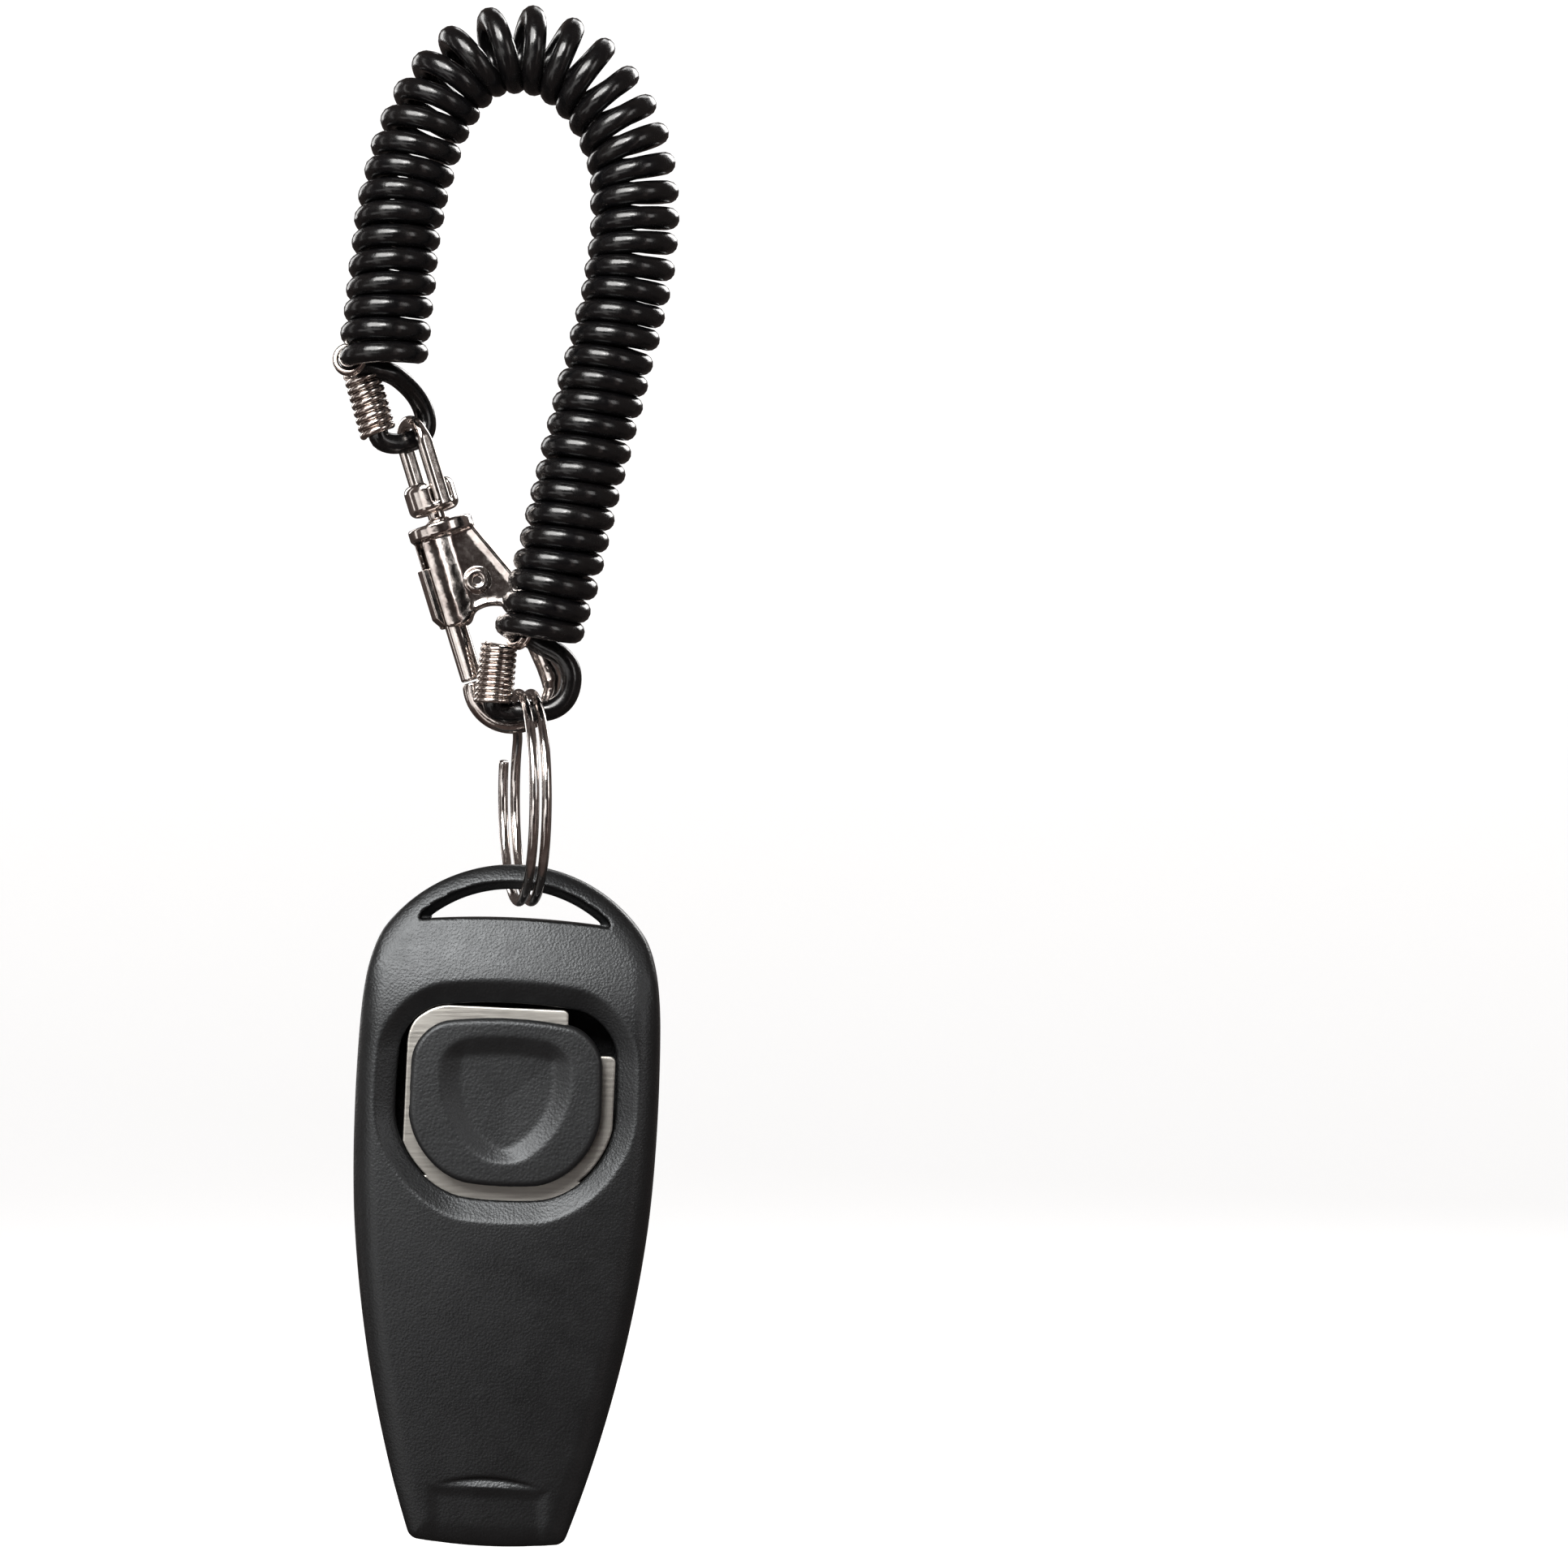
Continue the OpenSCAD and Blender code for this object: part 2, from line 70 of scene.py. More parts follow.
CORD_D = 2.6
COIL_D = 10.7
COIL_ROUTE = [
    [-15.5, -3.5, -32], [-14.6, -3, -24], [-13.6, -2, -15], [-12.4, -1.2, -9.5],
    [-10.4, -0.6, -3.5], [-6.8, 0, 2.2], [-3.3, 0, 4.7], [0.6, 0, 5.4], [4.7, 0, 4.6],
    [8.4, -0.2, 2.3], [10.9, -0.5, -0.6], [12.8, -0.8, -3.8], [14.2, -1.2, -7.6],
    [14.8, -1.6, -12], [14.7, -2.1, -18], [13.7, -2.6, -24.5], [12, -3, -31.5],
    [9.6, -3.4, -41], [7.4, -3.7, -50], [5.6, -3.8, -57.5], [3.4, -3.8, -65],
]
RING_CRIMP = [[-2.3, -1.1, -73.6], [-1.6, -1.1, -67.2]]
HOOK_CRIMP = [[-16.4, 0.8, -40.9], [-18.3, 0.8, -34.2]]
RING_LOOP = [
    [3.6, 0.2, -66.9], [5.5, 0.1, -67.9], [6.8, 0, -69.4], [7.1, 0, -71.3], [6.4, 0, -73.4],
    [4.9, 0, -74.6], [3.2, 0, -74.9], [1.6, 0, -74.9], [0.2, 0, -75], [-1.2, -0.5, -75],
    [-2.2, -1, -74.4],
]
HOOK_LOOP = [
    [-15.0, 1.1, -33.8], [-13.2, 2.4, -35.0], [-11.6, 3.7, -36.9], [-10.8, 4.3, -39.2],
    [-11, 3.9, -41], [-12.3, 3.1, -41.9], [-13.7, 2.2, -42.3], [-15.1, 1.4, -42.3],
    [-16.1, 0.9, -41.8],
]

CASE_PLACE = Matrix.Translation((0.7, 0, -93.5)) @ Matrix.Rotation(math.radians(2.65), 4, "Y")
HOOK_PLACE = Matrix.Translation((-9.1, 3, -51.9)) @ Matrix.Rotation(math.radians(-17), 4, "Y")
RING_PLACE = (Matrix.Translation((1.45, 0, -85.35)) @ Matrix.Rotation(math.radians(11), 4, "Z")
              @ Matrix.Rotation(math.radians(90), 4, "Y"))

# ---------------------------------------------------------------- helpers: lines and meshes


def spline(points, step):
    """A natural cubic line through the points, about step apart."""
    p = np.array(points, float)
    chord = np.linalg.norm(np.diff(p, axis=0), axis=1)
    t = np.r_[0, np.cumsum(chord ** 0.5)]
    n, h = len(t), np.diff(t)
    a, b = np.zeros((n, n)), np.zeros((n, 3))
    a[0, 0] = a[-1, -1] = 1
    for i in range(1, n - 1):
        a[i, i - 1:i + 2] = h[i - 1], 2 * (h[i - 1] + h[i]), h[i]
        b[i] = 6 * ((p[i + 1] - p[i]) / h[i] - (p[i] - p[i - 1]) / h[i - 1])
    m = np.linalg.solve(a, b)
    x = np.linspace(0, t[-1], 40 * n)
    k = np.clip(np.searchsorted(t, x, side="right") - 1, 0, n - 2)
    u, v, hk = ((t[k + 1] - x) / h[k])[:, None], ((x - t[k]) / h[k])[:, None], h[k][:, None]
    line = (u * p[k] + v * p[k + 1]
            + (u ** 3 - u) * hk ** 2 * m[k] / 6 + (v ** 3 - v) * hk ** 2 * m[k + 1] / 6)
    return resample(line, step)


def arc_length(line):
    return np.r_[0, np.cumsum(np.linalg.norm(np.diff(line, axis=0), axis=1))]


def resample(line, step):
    s = arc_length(line)
    at = np.linspace(0, s[-1], max(2, int(round(s[-1] / step)) + 1))
    return np.stack([np.interp(at, s, line[:, i]) for i in range(3)], axis=1)


def transformed(points, place):
    m = np.array(place)
    return np.asarray(points) @ m[:3, :3].T + m[:3, 3]


def mesh_object(name, verts, faces, place=None):
    """A smooth shaded mesh from points in mm and an array of faces."""
    verts = np.asarray(verts, float)
    if place is not None:
        verts = transformed(verts, place)
    mesh = bpy.data.meshes.new(name)
    if isinstance(faces, np.ndarray):
        mesh.vertices.add(len(verts))
        mesh.vertices.foreach_set("co", (verts * MM).astype(np.float32).ravel())
        mesh.loops.add(faces.size)
        mesh.loops.foreach_set("vertex_index", faces.astype(np.int32).ravel())
        mesh.polygons.add(len(faces))
        width = faces.shape[1]
        mesh.polygons.foreach_set("loop_start", np.arange(0, faces.size, width, dtype=np.int32))
        mesh.update(calc_edges=True)
    else:
        mesh.from_pydata((verts * MM).tolist(), [], faces)
    mesh.validate()
    mesh.polygons.foreach_set("use_smooth", np.ones(len(mesh.polygons), bool))
    mesh.update()
    obj = bpy.data.objects.new(name, mesh)
    bpy.context.scene.collection.objects.link(obj)
    return obj


def frames_along(line):
    """Tangents and two turning-free normals along a line."""
    tangent = np.gradient(line, axis=0)
    tangent /= np.linalg.norm(tangent, axis=1)[:, None]
    first = np.cross(tangent[0], [0.31, 0.87, 0.38])
    first /= np.linalg.norm(first)
    normal = [first]
    for t in tangent[1:]:
        n = normal[-1] - t * np.dot(normal[-1], t)
        normal.append(n / np.linalg.norm(n))
    normal = np.array(normal)
    return tangent, normal, np.cross(tangent, normal)


def wire(name, line, radius, sides=16, place=None, edge=0.25):
    """A closed round wire along a line, cut flat with a small rounded edge at its ends."""
    line = np.asarray(line, float)
    tangent, a, b = frames_along(line)
    turn = 2 * math.pi * np.arange(sides) / sides
    circle = (np.cos(turn)[None, :, None] * a[:, None] + np.sin(turn)[None, :, None] * b[:, None])
    radius = np.broadcast_to(np.asarray(radius, float), (len(line),))
    rings = line[:, None] + circle * radius[:, None, None]
    scale_edge = edge * float(radius[0])
    start = [line[0] - tangent[0] * scale_edge * math.sin(math.pi / 2 * k / 3)
             + circle[0] * (radius[0] - scale_edge * (1 - math.cos(math.pi / 2 * k / 3)))
             for k in (3, 2, 1)]
    end = [line[-1] + tangent[-1] * scale_edge * math.sin(math.pi / 2 * k / 3)
           + circle[-1] * (radius[-1] - scale_edge * (1 - math.cos(math.pi / 2 * k / 3)))
           for k in (1, 2, 3)]
    rings = np.concatenate([np.array(start), rings, np.array(end)])
    count = len(rings)
    i = np.arange(count - 1)[:, None] * sides
    k = np.arange(sides)[None, :]
    j = (k + 1) % sides
    quads = np.stack([i + k, i + j, i + sides + j, i + sides + k], axis=-1).reshape(-1, 4)
    verts = rings.reshape(-1, 3)
    caps = [list(range(sides))[::-1], [(count - 1) * sides + q for q in range(sides)]]
    return mesh_object(name, verts, [list(map(int, q)) for q in quads] + caps, place)


def joined(name, parts):
    """One piece from several mesh objects that share a body and a material."""
    with bpy.context.temp_override(active_object=parts[0], selected_editable_objects=parts,
                                   selected_objects=parts, object=parts[0]):
        bpy.ops.object.join()
    parts[0].name = name
    return parts[0]


# ---------------------------------------------------------------- helpers: rounded solids
# A solid is a function that gives each point's distance to its surface, negative inside.


def cut_round(a, b, r):
    """Where both a and b hold, with the outer edge rounded to radius r."""
    return (np.minimum(np.maximum(a, b), -r)
            + np.hypot(np.maximum(a + r, 0), np.maximum(b + r, 0)))


def join_round(a, b, r):
    """Where a or b holds, with the inner corner filled to radius r."""
    return -cut_round(-a, -b, r)


def rod(p, a, b, r):
    """A rod with round ends from a to b."""
    a, b = np.array(a, float), np.array(b, float)
    ab = b - a
    t = np.clip(((p - a) @ ab) / (ab @ ab), 0, 1)
    return np.linalg.norm(p - a - t[:, None] * ab, axis=1) - r


def disc(p, x, y, z0, z1, r, edge):
    """An upright cylinder with rounded edges."""
    side = np.hypot(p[:, 0] - x, p[:, 1] - y) - r
    ends = np.abs(p[:, 2] - (z0 + z1) / 2) - (z1 - z0) / 2
    return cut_round(side, ends, edge)


def ramp(t, soft):
    """0 below 0, 1 above 1, with soft corners."""
    return 0.5 * (np.sqrt(t * t + soft * soft) - np.sqrt((t - 1) ** 2 + soft * soft) + 1)


def polygon_distance(x, z, corners):
    c = np.array(corners, float)
    best = np.full(x.shape, 1e9)
    inside = np.zeros(x.shape, bool)
    for i in range(len(c)):
        a, b = c[i], c[(i + 1) % len(c)]
        e = b - a
        wx, wz = x - a[0], z - a[1]
        t = np.clip((wx * e[0] + wz * e[1]) / (e @ e), 0, 1)
        best = np.minimum(best, np.hypot(wx - t * e[0], wz - t * e[1]))
        crosses = (a[1] > z) != (b[1] > z)
        with np.errstate(divide="ignore", invalid="ignore"):
            at = a[0] + (z - a[1]) * e[0] / e[1] if e[1] else x + 1
        inside ^= crosses & (x < at)
    return np.where(inside, -best, best)


BATCH = 400000             # points measured at a time


def solid(name, distance, low, high, step, place=None):
    """The surface of a rounded solid as an even mesh of quads, with its points set on the surface."""
    low, high = np.array(low, float), np.array(high, float)
    block = 6
    cells = (np.ceil((high - low) / step / block).astype(int)) * block
    nodes = cells + 1
    coarse = cells // block
    axes = [low[i] + step * block * (np.arange(coarse[i]) + 0.5) for i in range(3)]
    centre = np.stack(np.meshgrid(*axes, indexing="ij"), -1).reshape(-1, 3)
    far = distance(centre).reshape(coarse)
    reach = step * block * 0.87 * 1.35      # half a block's diagonal, and some more
    near = np.abs(far) < reach
    value = np.repeat(np.repeat(np.repeat(far, block, 0), block, 1), block, 2)
    value = np.pad(value, ((0, 1),) * 3, mode="edge").astype(np.float32)
    active = np.zeros(nodes, bool)
    bi = np.argwhere(near) * block
    for o in np.ndindex(block + 1, block + 1, block + 1):
        active[bi[:, 0] + o[0], bi[:, 1] + o[1], bi[:, 2] + o[2]] = True
    at = np.argwhere(active)
    found = np.empty(len(at), np.float32)
    for s in range(0, len(at), BATCH):
        found[s:s + BATCH] = distance(low + step * at[s:s + BATCH])
    value[active] = found
    value[value == 0] = 1e-6
    inside = value < 0
    corner = [(i, j, k) for i in (0, 1) for j in (0, 1) for k in (0, 1)]

    def part(array, i, j, k):
        return array[i:cells[0] + i, j:cells[1] + j, k:cells[2] + k]

    total = sum(part(inside, *c).astype(np.int8) for c in corner)
    mixed = (total > 0) & (total < 8)
    cell = np.argwhere(mixed)
    index = np.full(cells, -1, np.int64)
    index[mixed] = np.arange(len(cell))
    v = [value[cell[:, 0] + c[0], cell[:, 1] + c[1], cell[:, 2] + c[2]] for c in corner]
    points, hits = np.zeros((len(cell), 3)), np.zeros(len(cell))
    for a in range(8):
        for b in range(a + 1, 8):
            if sum(abs(corner[a][i] - corner[b][i]) for i in range(3)) != 1:
                continue
            cross = (v[a] < 0) != (v[b] < 0)
            t = np.where(cross, v[a] / np.where(cross, v[a] - v[b], 1), 0)
            pos = np.array(corner[a]) + t[:, None] * (np.array(corner[b]) - np.array(corner[a]))
            points += pos * cross[:, None]
            hits += cross
    points = low + step * (cell + points / hits[:, None])
    quads = []
    for axis in range(3):
        u, w = (axis + 1) % 3, (axis + 2) % 3
        first = [slice(0, n) for n in nodes]
        first[axis] = slice(0, nodes[axis] - 1)
        second = list(first)
        second[axis] = slice(1, nodes[axis])
        change = inside[tuple(first)] != inside[tuple(second)]
        e = np.argwhere(change)
        keep = (e[:, u] > 0) & (e[:, w] > 0) & (e[:, u] < cells[u]) & (e[:, w] < cells[w])
        e = e[keep]
        ids = []
        for du, dw in ((0, 0), (1, 0), (1, 1), (0, 1)):
            c = e.copy()
            c[:, u] -= du
            c[:, w] -= dw
            ids.append(index[c[:, 0], c[:, 1], c[:, 2]])
        q = np.stack(ids, 1)
        solid_first = inside[e[:, 0], e[:, 1], e[:, 2]]
        q[~solid_first] = q[~solid_first][:, ::-1]
        quads.append(q)
    quads = np.concatenate(quads)
    small = step * 0.2
    for _ in range(3):
        d = distance(points)
        g = np.stack([(distance(points + small * np.eye(3)[i]) - distance(points - small * np.eye(3)[i]))
                      / (2 * small) for i in range(3)], 1)
        g2 = np.maximum((g * g).sum(1), 0.25)
        move = -(d / g2)[:, None] * g
        size = np.linalg.norm(move, axis=1)
        move *= np.minimum(1, 0.4 * step / np.maximum(size, 1e-9))[:, None]
        points += move
    return mesh_object(name, points, quads, place)


# ---------------------------------------------------------------- helpers: materials


class Look:
    """A node material round one Principled shader, in metres."""

    def __init__(self, name, **values):
        self.material = bpy.data.materials.new(name)
        self.material.use_nodes = True
        self.tree = self.material.node_tree
        self.shader = self.tree.nodes["Principled BSDF"]
        for key, value in values.items():
            self.shader.inputs[key.replace("_", " ")].default_value = value
        self.place = self.node("ShaderNodeTexCoord").outputs["Object"]
        self.height = None

    def node(self, kind, **inputs):
        made = self.tree.nodes.new(kind)
        for key, value in inputs.items():
            socket = made.inputs[int(key[1:])] if key[0] == "i" and key[1:].isdigit() else made.inputs[key]
            if isinstance(value, bpy.types.NodeSocket):
                self.tree.links.new(value, socket)
            else:
                socket.default_value = value
        return made

    def noise(self, size, detail=2.0, rough=0.5, stretch=None, distort=0.0):
        """Noise with features about size metres across."""
        place = self.place
        if stretch:
            mapping = self.node("ShaderNodeMapping", Vector=self.place)
            mapping.inputs["Scale"].default_value = stretch
            place = mapping.outputs["Vector"]
        return self.node("ShaderNodeTexNoise", Vector=place, Scale=1 / size, Detail=detail,
                         Roughness=rough, Distortion=distort).outputs["Fac"]

    def cells(self, size, smooth=0.6):
        made = self.node("ShaderNodeTexVoronoi", Vector=self.place, Scale=1 / size)
        made.feature = "SMOOTH_F1"
        made.inputs["Smoothness"].default_value = smooth
        return made.outputs["Distance"]

    def ramp(self, value, stops):
        made = self.node("ShaderNodeValToRGB", Fac=value)
        e = made.color_ramp.elements
        while len(e) < len(stops):
            e.new(0.5)
        for item, (pos, colour) in zip(e, stops):
            item.position = pos
            item.color = (*colour, 1)
        return made.outputs["Color"]

    def levels(self, value, low, high, start=0.0, end=1.0):
        made = self.node("ShaderNodeMapRange", Value=value, i1=start, i2=end, i3=low, i4=high)
        return made.outputs["Result"]

    def bump(self, height, depth, strength=1.0):
        """Adds a bump whose height of 0 to 1 is depth metres."""
        made = self.node("ShaderNodeBump", Height=height, Distance=depth, Strength=strength)
        if self.height:
            self.tree.links.new(self.height, made.inputs["Normal"])
        self.height = made.outputs["Normal"]
        self.tree.links.new(self.height, self.shader.inputs["Normal"])

    def set(self, name, value):
        self.tree.links.new(value, self.shader.inputs[name])


def case_look(name, grain, depth, base, rough):
    look = Look(name, Metallic=0.0, IOR=1.48, Specular_Tint=(0.93, 0.965, 1.0, 1))
    tone = look.noise(0.006, 3, 0.6)
    look.set("Base Color", look.ramp(tone, [(0.3, (base, base, base * 1.05)),
                                            (0.7, (base * 1.3, base * 1.3, base * 1.352))]))
    pebble = look.cells(grain, 0.7)
    fine = look.noise(grain * 0.45, 3, 0.6)
    look.bump(pebble, depth)
    look.bump(fine, depth * 0.45)
    patch = look.noise(0.004, 4, 0.65)
    look.set("Roughness", look.levels(patch, rough - 0.05, rough + 0.07, 0.25, 0.75))
    return look.material


def metal_look(name, light, dark, rough, wave, wave_depth):
    look = Look(name, Metallic=1.0)
    patch = look.noise(0.0022, 4, 0.6, distort=0.6)
    look.set("Base Color", look.ramp(patch, [(0.32, dark), (0.62, light)]))
    look.set("Roughness", look.levels(look.noise(0.0007, 3, 0.6), rough - 0.03, rough + 0.07, 0.3, 0.75))
    look.bump(look.noise(wave, 2, 0.45), wave_depth)
    look.bump(look.noise(0.00022, 2, 0.5), 0.0000025)
    return look.material


def cord_look():
    look = Look("cord black", IOR=1.44, Coat_Weight=0.12, Coat_Roughness=0.08)
    tone = look.noise(0.0035, 3, 0.6)
    look.set("Base Color", look.ramp(tone, [(0.3, (0.0013, 0.0013, 0.0017)),
                                            (0.7, (0.0028, 0.0025, 0.0025))]))
    look.set("Roughness", look.levels(look.noise(0.0012, 4, 0.65), 0.13, 0.34, 0.3, 0.75))
    look.bump(look.noise(0.0009, 3, 0.6), 0.000035)
    look.bump(look.noise(0.00016, 2, 0.6), 0.000004)
    return look.material


def plate_look():
    look = Look("plate steel", Metallic=1.0)
    streak = look.noise(0.00035, 3, 0.6, stretch=(0.06, 1, 1))
    look.set("Base Color", look.ramp(streak, [(0.3, (0.29, 0.278, 0.258)), (0.7, (0.41, 0.397, 0.37))]))
    look.set("Roughness", look.levels(streak, 0.34, 0.52, 0.25, 0.75))
    look.bump(streak, 0.000006)
    look.bump(look.noise(0.0002, 2, 0.5), 0.000003)
    return look.material


CASE = case_look("case black", 0.00029, 0.000030, 0.0026, 0.39)
BUTTON = case_look("button black", 0.00034, 0.000032, 0.0040, 0.43)
INNER = case_look("inner plastic", 0.0009, 0.000015, 0.02, 0.42)
CORD = cord_look()
PLATE = plate_look()
NICKEL = metal_look("hook nickel", (0.66, 0.615, 0.585), (0.40, 0.35, 0.33), 0.13, 0.0016, 0.00006)
POLISHED = metal_look("bolt nickel", (0.70, 0.655, 0.625), (0.52, 0.47, 0.44), 0.11, 0.004, 0.00004)
RING_STEEL = metal_look("ring steel", (0.68, 0.65, 0.63), (0.46, 0.42, 0.40), 0.12, 0.0018, 0.00003)
CRIMP = metal_look("crimp wire", (0.72, 0.66, 0.62), (0.44, 0.37, 0.34), 0.17, 0.0008, 0.000008)
SPRING = metal_look("spring steel", (0.62, 0.62, 0.62), (0.45, 0.45, 0.46), 0.2, 0.001, 0.00001)


def finish(obj, body, slot, material, *replaced):
    """Dresses a piece, puts it on its body and hides the CAD parts that it stands for."""
    obj.data.materials.clear()
    obj.data.materials.append(material)
    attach(obj, body)
    if replaced:
        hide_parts(*replaced)
    return obj


# ---------------------------------------------------------------- the cord: one line from crimp to crimp

FRONT = np.array([0.0, -1.0, 0.0])
HELIX_R = (COIL_D - CORD_D) / 2
TIGHT_PITCH = 2.8          # on the two legs
OPEN_PITCH = 0.98          # what the arch adds to it
ARCH_AT = 44.0             # along the route, where it is added
ARCH_BEFORE, ARCH_AFTER = 16.0, 20.0
TAIL = 1.24                # the last half turn at each end leaves the route by this
PER_TURN = 28              # points in a turn of the coil
ROUTE_STEP = 0.1


def coil_line():
    """The coil's line round its route, closer on the legs and open in the arch, slightly uneven."""
    route = spline(COIL_ROUTE, ROUTE_STEP)
    first = route[0] - (route[1] - route[0]) / ROUTE_STEP * TAIL
    last = route[-1] + (route[-1] - route[-2]) / ROUTE_STEP * TAIL
    route = resample(np.concatenate([[first], route, [last]]), ROUTE_STEP)
    s = arc_length(route) - TAIL
    width = np.where(s < ARCH_AT, ARCH_BEFORE, ARCH_AFTER)
    pitch = TIGHT_PITCH + OPEN_PITCH * np.exp(-((s - ARCH_AT) / width) ** 2)
    turns = np.r_[0, np.cumsum(0.5 * (1 / pitch[1:] + 1 / pitch[:-1]) * np.diff(s))]
    turns -= np.interp(0.0, s, turns)
    end = np.interp(s[-1] - TAIL, s, turns)
    turns *= round(end) / end
    count = int((turns[-1] - turns[0]) * PER_TURN)
    at = np.interp(np.linspace(turns[0], turns[-1], count), turns, s)
    phase = 2 * math.pi * np.interp(at, s, turns)
    centre = np.stack([np.interp(at, s, route[:, i]) for i in range(3)], 1)
    tangent = np.stack([np.interp(at, s, np.gradient(route[:, i])) for i in range(3)], 1)
    tangent /= np.linalg.norm(tangent, axis=1)[:, None]
    front = FRONT - tangent * (tangent @ FRONT)[:, None]
    front /= np.linalg.norm(front, axis=1)[:, None]
    side = np.cross(tangent, front)
    radius = HELIX_R * (1 + 0.010 * np.sin(phase * 0.37) + 0.008 * np.sin(phase * 0.13 + 1))
    sway = 0.10 * np.sin(phase * 0.21 + 0.6) + 0.06 * np.sin(phase * 0.53)
    lean = 0.05 * np.sin(phase * 0.29 + 2.0)
    return (centre + tangent * (sway * 0.5 + lean * np.sin(phase) * HELIX_R * 0.5)[:, None]
            + radius[:, None] * (np.cos(phase)[:, None] * front + np.sin(phase)[:, None] * side))


def loop_line(coil_end, inner, loop, crimp):
    """From the coil's end round the loop and up through the crimp."""
    points = [inner, coil_end] + loop + [crimp[0], list((np.array(crimp[0]) + crimp[1]) / 2), crimp[1]]
    line = spline(points, 0.4)
    start = np.argmin(np.linalg.norm(line - np.array(coil_end), axis=1))
    line = line[start:]
    return line[np.linalg.norm(line - np.array(coil_end), axis=1) > 0.3]


coil = coil_line()
left_loop = loop_line(coil[0], coil[3], HOOK_LOOP, HOOK_CRIMP)
right_loop = loop_line(coil[-1], coil[-4], RING_LOOP, RING_CRIMP)
cord_line = np.concatenate([left_loop[::-1], coil, right_loop])
THIN, THICKER = 0.97, 0.075    # the strand's thickness in the loops, and what the coil adds

curve = bpy.data.curves.new("cord", "CURVE")
curve.dimensions = "3D"
curve.bevel_depth = CORD_D / 2 * MM
curve.bevel_resolution = 5
curve.use_fill_caps = True
strand = curve.splines.new("POLY")
strand.points.add(len(cord_line) - 1)
strand.points.foreach_set("co", np.c_[cord_line * MM, np.ones(len(cord_line))].astype(np.float32).ravel())
in_coil = np.arange(len(cord_line)) - len(left_loop)
from_end = np.minimum(in_coil, len(coil) - in_coil) / PER_TURN
strand.points.foreach_set("radius", (THIN + THICKER * np.clip(from_end, 0, 1)).astype(np.float32))
cord = bpy.data.objects.new("cord", curve)
bpy.context.scene.collection.objects.link(cord)
finish(cord, "lanyard", "cord", CORD, "coil_cord", "ring_end_loop", "hook_end_loop")
print("cord length", round(float(arc_length(cord_line)[-1]), 1), "mm,", len(cord_line), "points")

# ---------------------------------------------------------------- crimps: close windings and a tie

TIE_WIRE, TIE_TURNS, TIE_LONG = 0.75, 1.55, 1.2
WIND_POINTS = 26           # points in a turn of the winding


def crimp(name, ends, tie_point, thick, winds, top_r, foot_r, node):
    """A close winding from the foot to the head, and a tie round the coil next to it."""
    foot, head = np.array(ends[0], float), np.array(ends[1], float)
    axis = (head - foot) / np.linalg.norm(head - foot)
    foot, head = foot - 0.15 * axis, head + 0.35 * axis
    u = np.cross(axis, [0, 1, 0])
    u /= np.linalg.norm(u)
    v = np.cross(axis, u)
    t = np.linspace(0, 1, winds * WIND_POINTS)
    phase = 2 * math.pi * winds * t
    radius = foot_r + (top_r - foot_r) * t
    body = (foot + (head - foot) * t[:, None] + radius[:, None]
            * (np.cos(phase)[:, None] * u + np.sin(phase)[:, None] * v))
    near = np.argmin(np.linalg.norm(coil - np.array(tie_point), axis=1))
    centre = coil[near]
    along = coil[min(near + 2, len(coil) - 1)] - coil[max(near - 2, 0)]
    along /= np.linalg.norm(along)
    e = np.cross(along, [0, 0, 1.0])
    e /= np.linalg.norm(e)
    f = np.cross(along, e)
    tie_r = CORD_D / 2 + TIE_WIRE / 2
    q = np.linspace(0, 1, 60)
    ang = 2 * math.pi * (TIE_TURNS * q) + 0.5
    tie = (centre + along * ((q - 0.5) * TIE_LONG)[:, None]
           + tie_r * (np.cos(ang)[:, None] * e + np.sin(ang)[:, None] * f))
    parts = [wire(name, body, thick / 2, 12), wire(name + "_tie", tie, TIE_WIRE / 2, 12)]
    made = joined(name, parts)
    finish(made, "lanyard", "crimp_wire", CRIMP, node)
    return made


crimp_ring = crimp("ring_crimp", RING_CRIMP, [0.6, -0.9, -66.0], 0.68, 10, 1.89, 2.09, "ring_end_crimp")
crimp_hook = crimp("hook_crimp", HOOK_CRIMP, [-19.6, -3.0, -32.7], 0.92, 8, 1.82, 1.82, "hook_end_crimp")

# ---------------------------------------------------------------- split ring

RING_R, RING_WIRE, RING_PITCH = 12.6, 1.2, 1.5
STEP_FROM, STEP_LONG = -202, 36    # degrees: where the wire steps over to its second turn


def ring_line():
    a = np.linspace(110, -550, 560)
    t = np.clip((STEP_FROM - a) / STEP_LONG, 0, 1)
    shift = RING_PITCH * ((1 - np.cos(math.pi * t)) / 2 - 0.5)
    r = np.radians(a)
    return np.stack([RING_R * np.cos(r), RING_R * np.sin(r), shift], 1)


ring = wire("split_ring_wire", ring_line(), RING_WIRE / 2, 20, RING_PLACE, edge=0.3)
finish(ring, "ring", "ring_steel", RING_STEEL, "split_ring")

# ---------------------------------------------------------------- case

CASE_H, HALF_W, ARCH_R = 82.4, 18.4, 19.2
SIDE_R, SIDE_Z, END_R = 161.0, -28.4, 68.0
FRONT_T, BACK_T = 7.2, 6.6
EDGE_IN, EDGE_Y = 3.0, 3.2
WALL = 1.9
BUTTON_AT = (0.0, -28.5)
RECESS_W = 2.65
RECESS_DEPTH = 1.5
CROWN_X, CROWN_Z, CROWN_AT = 260, 600, -38      # how the front bows, across and along
ROLL = 0.21              # the slope that the front gains above the button
ROLL_FROM, ROLL_FULL, ROLL_SOFT = -20, -12, 8
SEAM_LAP = 0.004         # no light passes between the shells
SEAM_ROUND = 0.22
SHOULDER_ROUND, END_ROUND = 1.6, 0.8
NICK_TOP, NICK_LOW, NICK_CURVE, NICK_SLOPE = -73.8, -75.05, 36, 0.46
